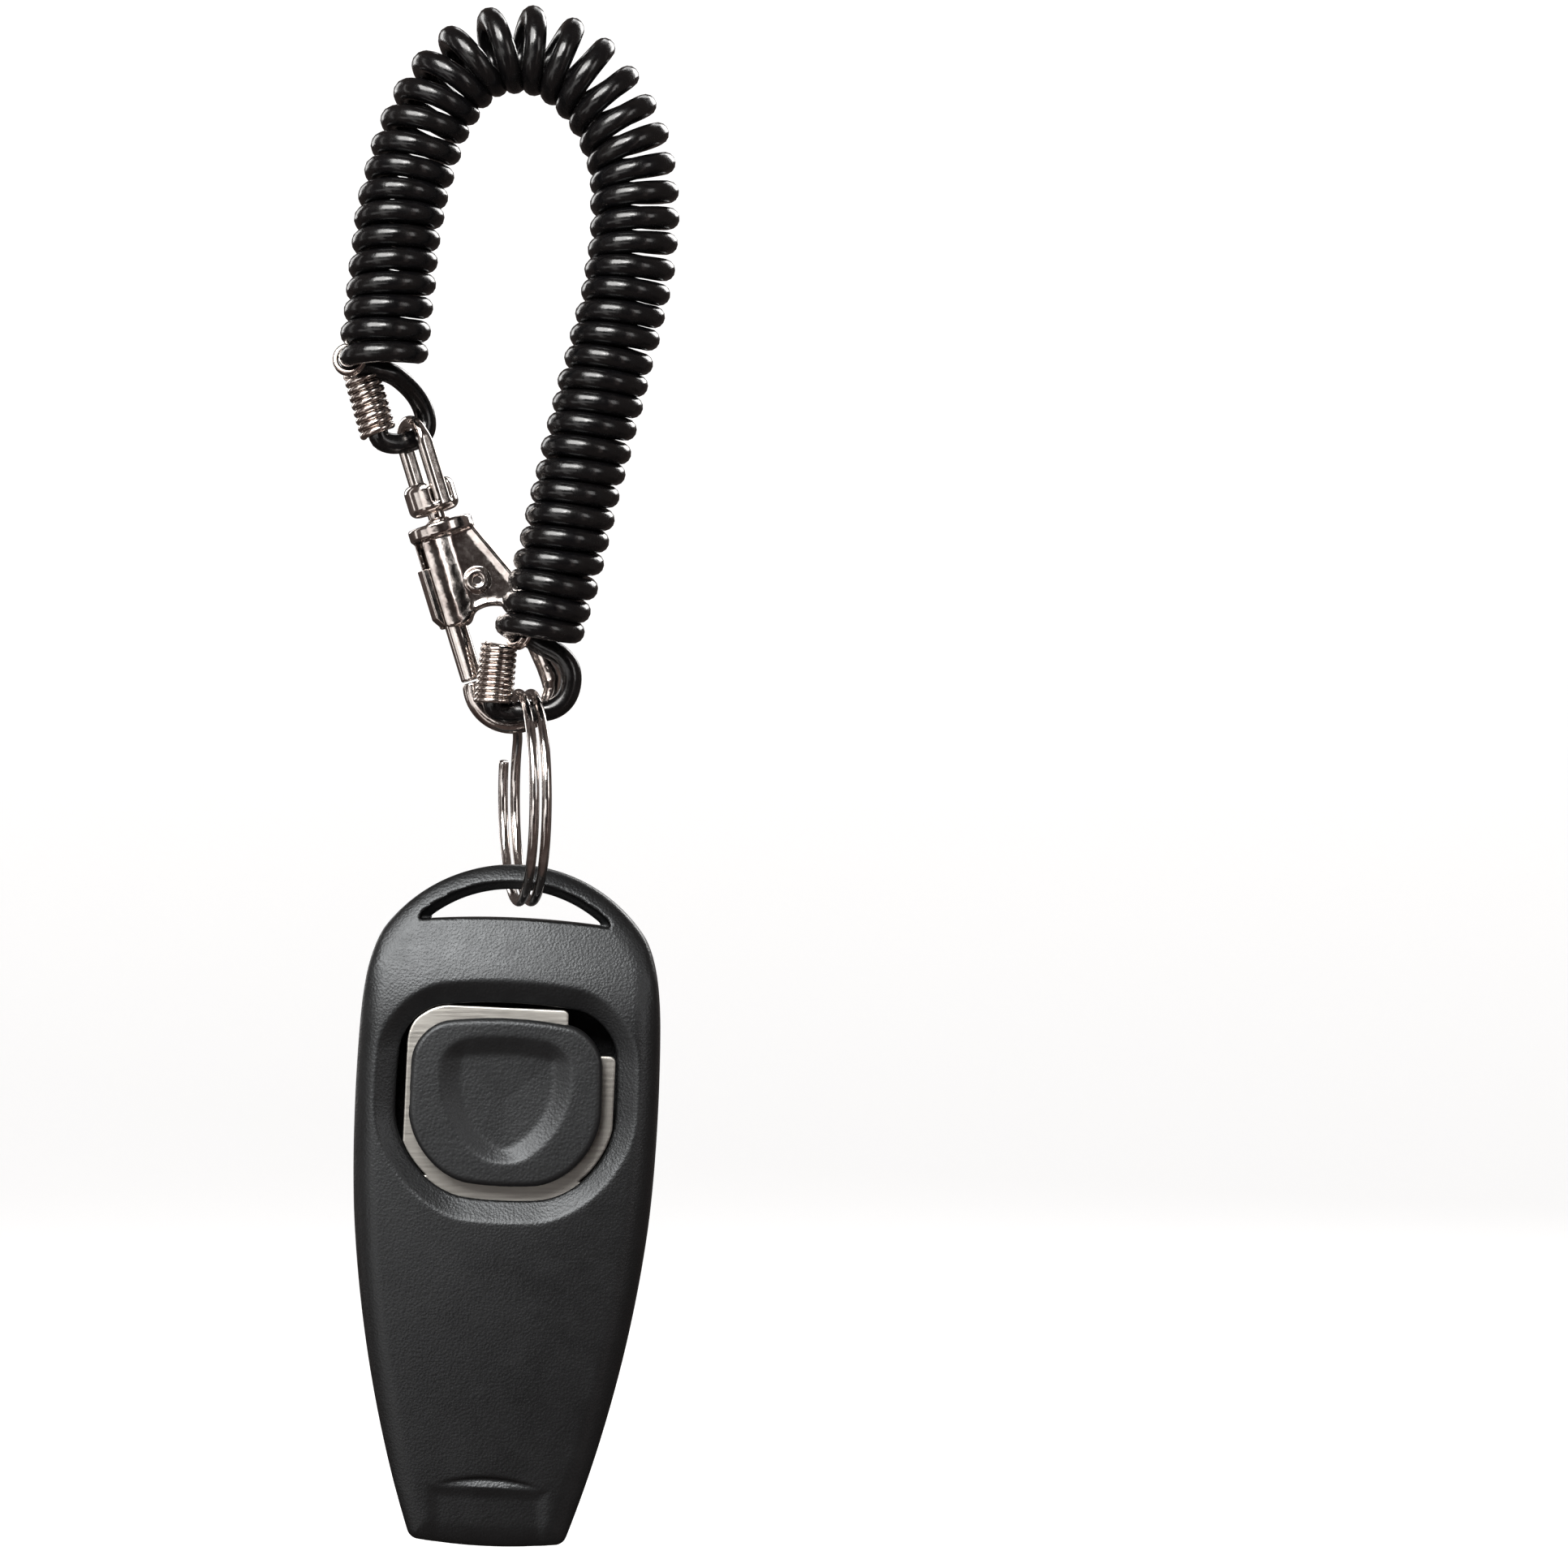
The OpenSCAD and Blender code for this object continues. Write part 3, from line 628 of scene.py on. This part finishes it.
LIP_DEPTH, LIP_HALF = 0.30, 7.3
STRAP_HALF, STRAP_LOW_R, STRAP_LOW_Z = 11.6, 108, -6.5


def outline(x, z):
    """The case's outline from the front: an arch, two bowed sides and a bowed end."""
    arch = np.hypot(x, np.maximum(z + ARCH_R, 0)) - ARCH_R
    side = np.hypot(np.abs(x) + SIDE_R - HALF_W, z - SIDE_Z) - SIDE_R
    end = np.hypot(x, z + CASE_H - END_R) - END_R
    return cut_round(cut_round(side, arch, SHOULDER_ROUND), end, END_ROUND)


def pillow(x, z, half_w, top, low, top_r, side_r, low_r, corner_top, corner_low):
    """A rounded four sided outline with bowed sides, flatter at the top and rounder below."""
    side = np.hypot(np.abs(x) + side_r - half_w, z) - side_r
    over = np.hypot(x, z - top + top_r) - top_r
    under = np.hypot(x, z - low - low_r) - low_r
    return cut_round(cut_round(side, over, corner_top), under, corner_low)


def opening(x, z):
    """The outline of the front's opening, which the button stands in."""
    return pillow(x - BUTTON_AT[0], z - BUTTON_AT[1], half_w=13.3, top=11.9, low=-11.9,
                  top_r=60, side_r=90, low_r=45, corner_top=4.6, corner_low=8.2)


def front_height(x, z):
    """Distance of the front face from the joint plane."""
    roll = ROLL * (0.5 * np.clip(z - ROLL_FROM, 0, ROLL_SOFT) ** 2 / ROLL_SOFT
                   + np.maximum(z - ROLL_FULL, 0))
    height = FRONT_T - x * x / CROWN_X - (z - CROWN_AT) ** 2 / CROWN_Z - roll
    return height - RECESS_DEPTH * ramp(1 - opening(x, z) / RECESS_W, 0.07)


def mouth_recess(x, z):
    """How deep the lip recess of the mouthpiece is, with the nick along its curved upper edge."""
    arc = NICK_TOP - x * x / NICK_CURVE
    nick = NICK_SLOPE * np.clip(z - NICK_LOW, 0, 2) * ramp((arc - z) / 0.16, 0.5)
    recess = LIP_DEPTH * ramp(np.minimum((NICK_LOW - z) / 1.2, (LIP_HALF - np.abs(x)) / 1.3), 0.2)
    return nick + recess


def rounded_case(x, y, z, height):
    """The case's outside on one side of the joint plane; y is the distance from that plane."""
    face_round = np.maximum(height - EDGE_Y, 1.2)
    w = np.maximum(outline(x, z) + EDGE_IN, 0) / EDGE_IN
    h = np.maximum(y - height + face_round, 0) / face_round
    return (np.hypot(w, h) - 1) * EDGE_IN


def strap_slot(x, y, z):
    """The slot for the ring, waisted in the middle of the case's thickness."""
    bulge = np.clip(2 - np.abs(y), 0, 1)
    depth = 1.95 + bulge * bulge * (3 - 2 * bulge)
    upper = np.hypot(x, z + ARCH_R) - (ARCH_R - depth)
    lower = STRAP_LOW_R - np.hypot(x, z - STRAP_LOW_Z + STRAP_LOW_R)
    return cut_round(cut_round(upper, lower, 0.55), np.abs(x) - STRAP_HALF, 0.5)


def box(x, y, z, x0, x1, y0, y1, z0, z1, r=0.0):
    a = np.abs(x - (x0 + x1) / 2) - (x1 - x0) / 2
    b = np.abs(y - (y0 + y1) / 2) - (y1 - y0) / 2
    c = np.abs(z - (z0 + z1) / 2) - (z1 - z0) / 2
    return cut_round(cut_round(a, c, r), b, min(r, 0.2)) if r else np.maximum(np.maximum(a, b), c)


def hollows(x, y, z):
    """The rooms inside the case, open to each other where the parts need it."""
    chamber = box(x, y, z, -14.5, 14.5, -3.2, BACK_T - WALL, -44.5, -14.0, 4)
    window = np.maximum(opening(x, z) + 0.1, np.maximum(-6 - y, y))
    keeper = box(x, y, z, -11.1, 11.1, -5.4, 0, -44.5, -40.7)
    tongue = box(x, y, z, -11.2, 11.2, -4.99, 0, -41, -37.6)
    room = box(x, y, z, -9, 9, -4, 3.6, -68, -49, 3)
    block = box(x, y, z, -6, 6, -2.6, 1, -80.6, -68)
    windway = box(x, y, z, -5.2, 5.2, 1, 2.8, -90, -63.5)
    foot = box(x, y, z, -5.2, 5.2, -1, 1.1, -90, -68)
    return np.minimum.reduce([chamber, window, keeper, tongue, room, block, windway, foot])


def front_cover(p):
    x, y, z = p[:, 0], p[:, 1], p[:, 2]
    shell = rounded_case(x, -y, z, front_height(x, z) - mouth_recess(x, z))
    shell = cut_round(shell, y - SEAM_LAP, SEAM_ROUND)
    shell = cut_round(shell, -strap_slot(x, y, z), 0.3)
    shell = cut_round(shell, -opening(x, z), 0.18)
    return np.maximum(shell, -hollows(x, y, z))


def back_cover(p):
    x, y, z = p[:, 0], p[:, 1], p[:, 2]
    top = np.clip((z + 20) / 20, 0, 1)
    height = BACK_T - x * x / 900 - 1.2 * top * top
    shell = rounded_case(x, y, z, height)
    shell = cut_round(shell, -SEAM_LAP - y, SEAM_ROUND)
    shell = cut_round(shell, -strap_slot(x, y, z), 0.3)
    window = box(x, y, z, -5.2, 5.2, 0.5, 10, -68, -63.5)
    bevelled = window - 0.55 * np.clip((y - height + 1.6) / 1.6, 0, 1)
    shell = cut_round(shell, -bevelled, 0.25)
    return np.maximum(shell, -hollows(x, y, z))


STEP_CASE = 0.25
front = solid("front_shell", front_cover, (-19.6, -7.6, -83), (19.6, 0.4, 0.6), STEP_CASE, CASE_PLACE)
finish(front, "case", "case_black", CASE, "front_cover")
back = solid("back_shell", back_cover, (-19.6, -0.4, -83), (19.6, 7.0, 0.6), STEP_CASE, CASE_PLACE)
finish(back, "case", "case_black", CASE, "back_cover")

# ---------------------------------------------------------------- button and plate

BUTTON_FRONT, BUTTON_BACK = 7.9, -4.9
BUTTON_WALL, BUTTON_ROOF, STEM_R = 1.4, 2.2, 2.6
DISH_X, DISH_Z, DISH_R, DISH_TOP = 3.8, 3.0, 11.7, 7.9
DISH_DEPTH, DISH_SLOPE = 1.0, 2.1


def shield(x, z):
    """The outline of the thumb dish: bowed sides that run together below."""
    left = np.hypot(x - DISH_X, z - DISH_Z) - DISH_R
    right = np.hypot(x + DISH_X, z - DISH_Z) - DISH_R
    return cut_round(cut_round(left, right, 2.5), z - DISH_TOP + x * x / 70, 2.4)


def button_shape(p):
    x, y, z = p[:, 0] - BUTTON_AT[0], p[:, 1], p[:, 2] - BUTTON_AT[1]
    rim = pillow(x, z, half_w=11.6, top=10.1, low=-10.1,
                 top_r=50, side_r=85, low_r=40, corner_top=3.9, corner_low=7.2)
    inward = -shield(x, z)
    dish = DISH_DEPTH * ramp(inward / DISH_SLOPE, 0.14) + 0.25 * np.clip(inward / 7, 0, 1)
    height = BUTTON_FRONT - (x * x + z * z) / 620 - dish
    outside = cut_round(cut_round(rim, -y - height, 0.75), y - BUTTON_BACK, 0.2)
    inside = np.maximum(rim + BUTTON_WALL, -y - (BUTTON_FRONT - BUTTON_ROOF))
    stem = np.hypot(x, z) - STEM_R
    return np.maximum(outside, -np.maximum(inside, -stem))


STEP_BUTTON = 0.18
button = solid("button", button_shape, (-11.5, -8.2, -39), (12.6, -4.5, -17.8), STEP_BUTTON, CASE_PLACE)
finish(button, "clicker", "button_black", BUTTON, "button_cap")

PLATE_LEFT, PLATE_RIGHT, PLATE_TOP, PLATE_FRONT, PLATE_T = -12.2, 13.0, -17.2, -4.9, 0.5
PLATE_GAP = 0.14                      # from the plate's edge to the opening's
BOW_FROM, BOW_RATE = -29, 0.0022      # the plate's upper part bows backwards from here
NOTCH_X, NOTCH_Z = 7.1, -22.5
TONGUE_TOP, TONGUE_HALF = -37.8, 10.9
BEAD_Y, BEAD_Z, BEAD_R, BEAD_HALF = -4.4, -41.6, 0.6, 11
RIVET_HOLE_R = 0.82


def plate_shape(p):
    x, y, z = p[:, 0], p[:, 1], p[:, 2]
    y = y - BOW_RATE * np.maximum(z - BOW_FROM, 0) ** 2
    flat = cut_round(PLATE_LEFT - x, z - PLATE_TOP, 4.6)
    flat = cut_round(flat, x - PLATE_RIGHT, 1.2)
    notch = cut_round(NOTCH_X - x, NOTCH_Z - z, 0.3)
    flat = cut_round(flat, -notch, 0.7)
    tongue = np.maximum(z - TONGUE_TOP, np.abs(x) - TONGUE_HALF)
    in_window = np.minimum(opening(x, z) + PLATE_GAP, tongue)
    flat = np.maximum(np.maximum(flat, in_window), BEAD_Z - z)
    sheet = cut_round(flat, np.abs(y - PLATE_FRONT - PLATE_T / 2) - PLATE_T / 2, 0.1)
    bead = cut_round(np.hypot(y - BEAD_Y, z - BEAD_Z) - BEAD_R, np.abs(x) - BEAD_HALF, 0.1)
    hole = np.hypot(x - BUTTON_AT[0], z - BUTTON_AT[1]) - RIVET_HOLE_R
    return join_round(np.maximum(sheet, -hole), bead, 0.15)


plate = solid("spring_plate", plate_shape, (-12.8, -5.3, -42.6), (13.4, -3.2, -16.8), 0.16, CASE_PLACE)
finish(plate, "clicker", "plate_steel", PLATE, "clicker_plate")

# ---------------------------------------------------------------- hook

BARREL_X, BARREL_R, BARREL_LOW = -1.7, 1.95, -12.6
BORE_R, BORE_TOP, BORE_LOW = 1.40, -2.6, -14.0
CLAW_X, CLAW_Z, CLAW_R, CLAW_WIRE = 2.8, -21.4, 4.9, 1.15
CLAW_TIP = 165                        # degrees, where the claw's arc ends
SLOT_TURN, SLOT_HALF, SLOT_TOP = math.radians(215), 0.75, -1.62
FLANGE_R = 4.0
WEB = [(-1.7, -1), (3.7, -1), (7.7, -10.4), (8.2, -14), (4, -14), (-1.7, -12.6)]
BOSS = (2.5, -8.1)


def turned(p, angle, x0):
    """The points' places along and across a direction that is turned round an upright axis at x0."""
    u = (p[:, 0] - x0) * math.cos(angle) + p[:, 1] * math.sin(angle)
    v = -(p[:, 0] - x0) * math.sin(angle) + p[:, 1] * math.cos(angle)
    return u, v


def claw_distance(p):
    x, y, z = p[:, 0] - CLAW_X, p[:, 1], p[:, 2] - CLAW_Z
    angle = np.degrees(np.arctan2(z, x)) % 360
    on_arc = (angle >= CLAW_TIP) | (angle == 0)
    tube = np.hypot(np.hypot(x, z) - CLAW_R, y)
    tip = np.array([math.cos(math.radians(CLAW_TIP)), math.sin(math.radians(CLAW_TIP))]) * CLAW_R
    at_tip = np.sqrt((x - tip[0]) ** 2 + y * y + (z - tip[1]) ** 2)
    at_root = np.sqrt((x - CLAW_R) ** 2 + y * y + z * z)
    return np.where(on_arc, tube, np.minimum(at_tip, at_root)) - CLAW_WIRE


def hook_shape(p):
    x, y, z = p[:, 0], p[:, 1], p[:, 2]
    barrel = disc(p, BARREL_X, 0, BARREL_LOW, -0.5, BARREL_R, 0.3)
    plan = polygon_distance(x, z, WEB)
    plan = cut_round(plan, 3.9 - np.hypot(x - 2.4, z + 15.4), 0.3)
    half = 0.80 + 0.22 * ramp(1 + (plan + 0.25) / 0.9, 0.25)
    web = cut_round(plan, np.abs(y) - half, 0.5)
    body = join_round(barrel, web, 1.3)
    shank = rod(p, (7.65, 0, -22.0), (6.5, 0, -12.6), 1.28)
    claw = claw_distance(p)
    limb = join_round(claw, shank, 0.6)
    body = join_round(body, limb, 1.1)
    boss = cut_round(np.hypot(x - BOSS[0], z - BOSS[1]) - 1.5, -y - 1.42, 0.42)
    boss = np.maximum(boss, y - 0.5)
    body = join_round(body, boss, 0.22)
    dimple = np.maximum(np.hypot(x - BOSS[0], z - BOSS[1]) - 0.66, y + 0.85)
    body = cut_round(body, -dimple, 0.22)
    body = join_round(body, disc(p, 0, 0, -1.6, 0, FLANGE_R, 0.35), 0.35)
    bore = np.maximum(np.hypot(x - BARREL_X, y) - BORE_R, z - BORE_TOP)
    bore = np.maximum(bore, BORE_LOW - z)
    body = cut_round(body, -bore, 0.15)
    u, v = turned(p, SLOT_TURN, BARREL_X)
    slot = np.maximum(np.maximum(np.abs(v) - SLOT_HALF, -u), np.maximum(z - SLOT_TOP, BORE_LOW - z))
    body = cut_round(body, -slot, 0.15)
    mouth = np.maximum(np.maximum(x - 0.4, -5.5 - x), np.maximum(-19.75 - z, z + 14.0))
    return cut_round(body, -mouth, 0.25)


STEP_HOOK = 0.14
hook = solid("hook_casting", hook_shape, (-4.6, -4.3, -27.8), (9.6, 4.3, 0.4), STEP_HOOK, HOOK_PLACE)
finish(hook, "hook", "hook_nickel", NICKEL, "hook_body")

BOLT_D, BOLT_TIP, BOLT_TOP = 2.7, -19.5, -7.0
FIN_LOW, FIN_TOP = -12.3, -5.0


def bolt_shape(p):
    round_bar = disc(p, BARREL_X, 0, BOLT_TIP, BOLT_TOP, BOLT_D / 2, 0.28)
    u, v = turned(p, SLOT_TURN, BARREL_X)
    seat = np.maximum(np.maximum(np.abs(v) - 0.66, 0.49 - u), -12.31 - p[:, 2])
    return cut_round(round_bar, -seat, 0.05)


def slide_shape(p):
    u, v = turned(p, SLOT_TURN, BARREL_X)
    z = p[:, 2]
    foot = np.maximum(np.maximum(np.abs(v) - 0.65, np.abs(u - 1.0) - 0.5),
                      np.maximum(FIN_LOW - z, z - BOLT_TOP))
    slope = (z - FIN_LOW) - (u - 1.9) * 1.3
    fin = cut_round(np.abs(v) - 0.64, np.abs(u - 1.95) - 0.75, 0.16)
    fin = cut_round(fin, np.maximum(FIN_LOW - z, z - FIN_TOP), 0.2)
    fin = cut_round(fin, -slope, 0.2)
    return np.minimum(foot, fin)


bolt = solid("sliding_bolt", bolt_shape, (-3.3, -1.6, -19.8), (-0.1, 1.6, -6.7), 0.1, HOOK_PLACE)
finish(bolt, "bolt", "hook_nickel", POLISHED, "hook_bolt")
slide = solid("slide_fin", slide_shape, (-4.4, -2.6, -12.6), (-1.2, 0.6, -4.7), 0.09, HOOK_PLACE)
finish(slide, "bolt", "hook_nickel", NICKEL, "thumb_slide")

EYE_TURN = math.radians(-60)
BOW_HALF, BOW_Z, BOW_T = 2.6, 10.2, 0.74
CUP_R, CUP_Z, CUP_HALF = 3.1, 3.2, 2.0


def eye_shape(p):
    u, v = turned(p, EYE_TURN, 0.0)
    z = p[:, 2]
    r = np.hypot(u, v)
    cup = cut_round(r - CUP_R, np.abs(z - CUP_Z) - CUP_HALF, 1.0)
    saddle = cut_round(np.abs(v) - 1.3, 2.3 - z, 0.4)
    cup = cut_round(cup, -saddle, 0.3)
    across = np.where(z > BOW_Z, np.hypot(u, z - BOW_Z) - BOW_HALF, np.abs(u) - BOW_HALF)
    bow_w = 0.98 - 0.26 * np.clip((z - 9.8) / 1.6, 0, 1)
    bow = cut_round(np.abs(across) - BOW_T, np.abs(v) - bow_w, 0.62)
    bow = np.maximum(bow, 1.9 - z)
    body = join_round(cup, bow, 0.45)
    body = np.maximum(body, -np.maximum(r - 1.15, z - 9))
    return np.maximum(body, -np.maximum(r - 1.8, np.maximum(3.7 - z, z - 6)))


eye = solid("swivel_bow", eye_shape, (-4.0, -4.0, 0.9), (4.0, 4.0, 14.0), 0.12, HOOK_PLACE)
finish(eye, "eye", "hook_nickel", POLISHED, "swivel_eye")


def pin_shape(p):
    neck = disc(p, 0, 0, -0.3, 4.0, 1.1, 0.05)
    head = disc(p, 0, 0, 3.8, 4.5, 1.7, 0.3)
    collar = disc(p, 0, 0, 0.0, 0.35, 1.6, 0.15)
    return join_round(join_round(neck, head, 0.1), collar, 0.25)


pin = solid("swivel_post", pin_shape, (-2, -2, -0.6), (2, 2, 4.8), 0.1, HOOK_PLACE)
finish(pin, "hook", "hook_nickel", NICKEL, "swivel_pin")

# ---------------------------------------------------------------- the bolt's spring, which the bolt squeezes

SPRING_R, SPRING_WIRE, SPRING_TURNS = 0.85, 0.26, 4
SPRING_LOW, SPRING_TOP = -6.8, -2.8

turn = np.linspace(0, 2 * math.pi * SPRING_TURNS, 40 * SPRING_TURNS)
spring_line = np.stack([BARREL_X + SPRING_R * np.cos(turn), SPRING_R * np.sin(turn),
                        np.linspace(SPRING_LOW, SPRING_TOP, len(turn))], 1)
spring = wire("spring_coil", spring_line, SPRING_WIRE / 2, 10, HOOK_PLACE)
spring.data.materials.append(SPRING)
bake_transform(spring)
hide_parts("bolt_spring")

# ---------------------------------------------------------------- CAD parts that stay

for node, material in (("whistle_block", INNER), ("plate_keeper", INNER), ("keeper_screws", SPRING),
                       ("button_rivet", SPRING), ("rivet_washer", SPRING)):
    part = NODES[node]
    part.data.materials.clear()
    part.data.materials.append(material)

# ---------------------------------------------------------------- studio


def stage_white():
    """The bowl's material, which glows: plain white behind the object, and darker towards the camera's side
    as painted shade.
    """
    made = bpy.data.materials.new("studio white")
    made.use_nodes = True
    tree = made.node_tree
    shader = tree.nodes["Principled BSDF"]
    shader.inputs["Roughness"].default_value = 0.9
    shader.inputs["Specular IOR Level"].default_value = 0.0
    shader.inputs["Emission Strength"].default_value = 0.75
    split = tree.nodes.new("ShaderNodeSeparateXYZ")
    place = tree.nodes.new("ShaderNodeTexCoord")
    # painted shade: the glow and the base colour fall from full behind the object to 0.62 towards the camera
    fade = tree.nodes.new("ShaderNodeMapRange")
    fade.interpolation_type = "SMOOTHSTEP"
    tree.links.new(place.outputs["Object"], split.inputs[0])
    tree.links.new(split.outputs["Y"], fade.inputs["Value"])
    for key, value in (("From Min", -1.6), ("From Max", 0.6), ("To Min", 0.62), ("To Max", 1.0)):
        fade.inputs[key].default_value = value
    for socket, tone in (("Emission Color", (1, 1, 1)), ("Base Color", (0.45, 0.45, 0.45))):
        mix = tree.nodes.new("ShaderNodeMix")
        mix.data_type = "RGBA"
        mix.inputs[6].default_value = (0, 0, 0, 1)
        mix.inputs[7].default_value = (*tone, 1)
        tree.links.new(fade.outputs["Result"], mix.inputs[0])
        tree.links.new(mix.outputs[2], shader.inputs[socket])
    return made


FLOOR_Z = -0.225
BOWL = [(0.0, FLOOR_Z), (1.2, FLOOR_Z), (1.6, FLOOR_Z + 0.02), (1.85, FLOOR_Z + 0.09),
        (2.0, FLOOR_Z + 0.22), (2.06, FLOOR_Z + 0.42), (2.08, FLOOR_Z + 0.62)]


def turned_sheet(name, profile, first, last, around):
    """A sheet swept round the z axis from the first to the last angle, in degrees."""
    whole = last - first >= 360
    turn = np.radians(np.linspace(first, last, around + (0 if whole else 1), endpoint=not whole))
    r, z = np.maximum(profile[:, 0], 0.00001), profile[:, 2]
    verts = np.stack([r[:, None] * np.cos(turn), r[:, None] * np.sin(turn),
                      np.repeat(z[:, None], len(turn), 1)], -1)
    i = np.arange(len(profile) - 1)[:, None] * len(turn)
    k = np.arange(around)[None, :]
    j = (k + 1) % len(turn)
    quads = np.stack([i + k, i + j, i + len(turn) + j, i + len(turn) + k], -1).reshape(-1, 4)
    return mesh_object(name, verts.reshape(-1, 3) / MM, quads)


bowl = turned_sheet("studio_bowl", spline([(r, 0, z) for r, z in BOWL], 0.04), 0, 360, 96)
bowl.data.materials.append(stage_white())
bowl.visible_glossy = False

AIM = Vector((0.0, 0.0, -0.085))


def reflected_card(name, first, last, low, high, radius, colour):
    """A curved glowing sheet that only reflections meet, a painted reflection: dim for a dark surround,
    bright for a lit panel; the camera stands at 270 degrees.
    """
    lift = np.radians(np.linspace(low, high, 24))
    profile = np.stack([radius * np.cos(lift), 0 * lift, AIM.z + radius * np.sin(lift)], 1)
    card = turned_sheet(name, profile, first, last, 48)
    made = bpy.data.materials.new(name)
    made.use_nodes = True
    shader = made.node_tree.nodes["Principled BSDF"]
    shader.inputs["Base Color"].default_value = (0, 0, 0, 1)
    shader.inputs["Specular IOR Level"].default_value = 0.0
    shader.inputs["Emission Color"].default_value = (*colour, 1)
    shader.inputs["Emission Strength"].default_value = 1.0
    card.data.materials.append(made)
    card.visible_camera = card.visible_diffuse = card.visible_shadow = False
    card.visible_transmission = card.visible_volume_scatter = False


# painted reflections: dim glowing sheets of a dark surround, seen only in reflections
reflected_card("dim_reflection_front", 215, 325, -28, 80, 1.30, (0.040, 0.031, 0.029))
reflected_card("dim_reflection_under", 180, 360, -86, -28, 1.30, (0.10, 0.075, 0.068))
reflected_card("dim_reflection_left", 150, 215, -28, 80, 1.30, (0.11, 0.088, 0.082))
reflected_card("dim_reflection_right", 325, 390, -28, 80, 1.30, (0.13, 0.108, 0.10))
reflected_card("dim_reflection_back", 30, 150, -28, 80, 1.34, (0.075, 0.060, 0.055))
reflected_card("dim_reflection_back_under", 0, 180, -86, -28, 1.34, (0.05, 0.04, 0.036))
# painted reflections: bright glowing panels, seen only in reflections, which paint the highlights on the
# metal
reflected_card("panel_left", 222, 236, -45, 24, 1.27, (1.25, 1.20, 1.16))
reflected_card("panel_barrel", 226, 262, -16, -2, 1.26, (1.8, 1.75, 1.72))
reflected_card("panel_barrel_left", 198, 226, -22, -8, 1.26, (1.3, 1.26, 1.23))
reflected_card("panel_right", 304, 313, -35, 34, 1.27, (0.62, 0.50, 0.47))


def softbox(name, azimuth, elevation, distance, width, height, radiance, colour):
    """An even area light; azimuth is from the camera's side, to the right."""
    data = bpy.data.lights.new(name, "AREA")
    data.shape = "RECTANGLE"
    data.size, data.size_y = width, height
    data.energy = radiance * math.pi * width * height
    data.color = colour
    lamp = bpy.data.objects.new(name, data)
    bpy.context.scene.collection.objects.link(lamp)
    a, e = math.radians(azimuth), math.radians(elevation)
    back = Vector((math.sin(a) * math.cos(e), -math.cos(a) * math.cos(e), math.sin(e)))
    lamp.location = AIM + back * distance
    lamp.rotation_mode = "QUATERNION"
    lamp.rotation_quaternion = back.to_track_quat("Z", "Y")
    lamp.visible_camera = False


softbox("key", -27, 37, 1.0, 0.66, 0.62, 15.0, (1.0, 0.99, 0.97))
softbox("key_side", -4, 36, 1.05, 0.26, 0.26, 22.0, (1.0, 0.99, 0.97))
softbox("fill_right", 46, 14, 1.1, 0.26, 0.55, 3.4, (1.0, 0.99, 0.98))
softbox("left_strip", -98, 8, 1.1, 0.14, 1.0, 1.5, (1.0, 0.98, 0.96))
softbox("rim", 165, 45, 1.2, 0.5, 0.3, 3.0, (1.0, 1.0, 1.0))
softbox("back_key", 148, 26, 1.1, 0.5, 0.5, 7.0, (1.0, 0.99, 0.98))
softbox("back_fill", -138, 16, 1.1, 0.3, 0.6, 4.0, (1.0, 0.99, 0.98))

world = bpy.data.worlds.new("studio")
world.use_nodes = True
world.node_tree.nodes["Background"].inputs["Color"].default_value = (0.085, 0.062, 0.055, 1)
world.node_tree.nodes["Background"].inputs["Strength"].default_value = 1.0
bpy.context.scene.world = world
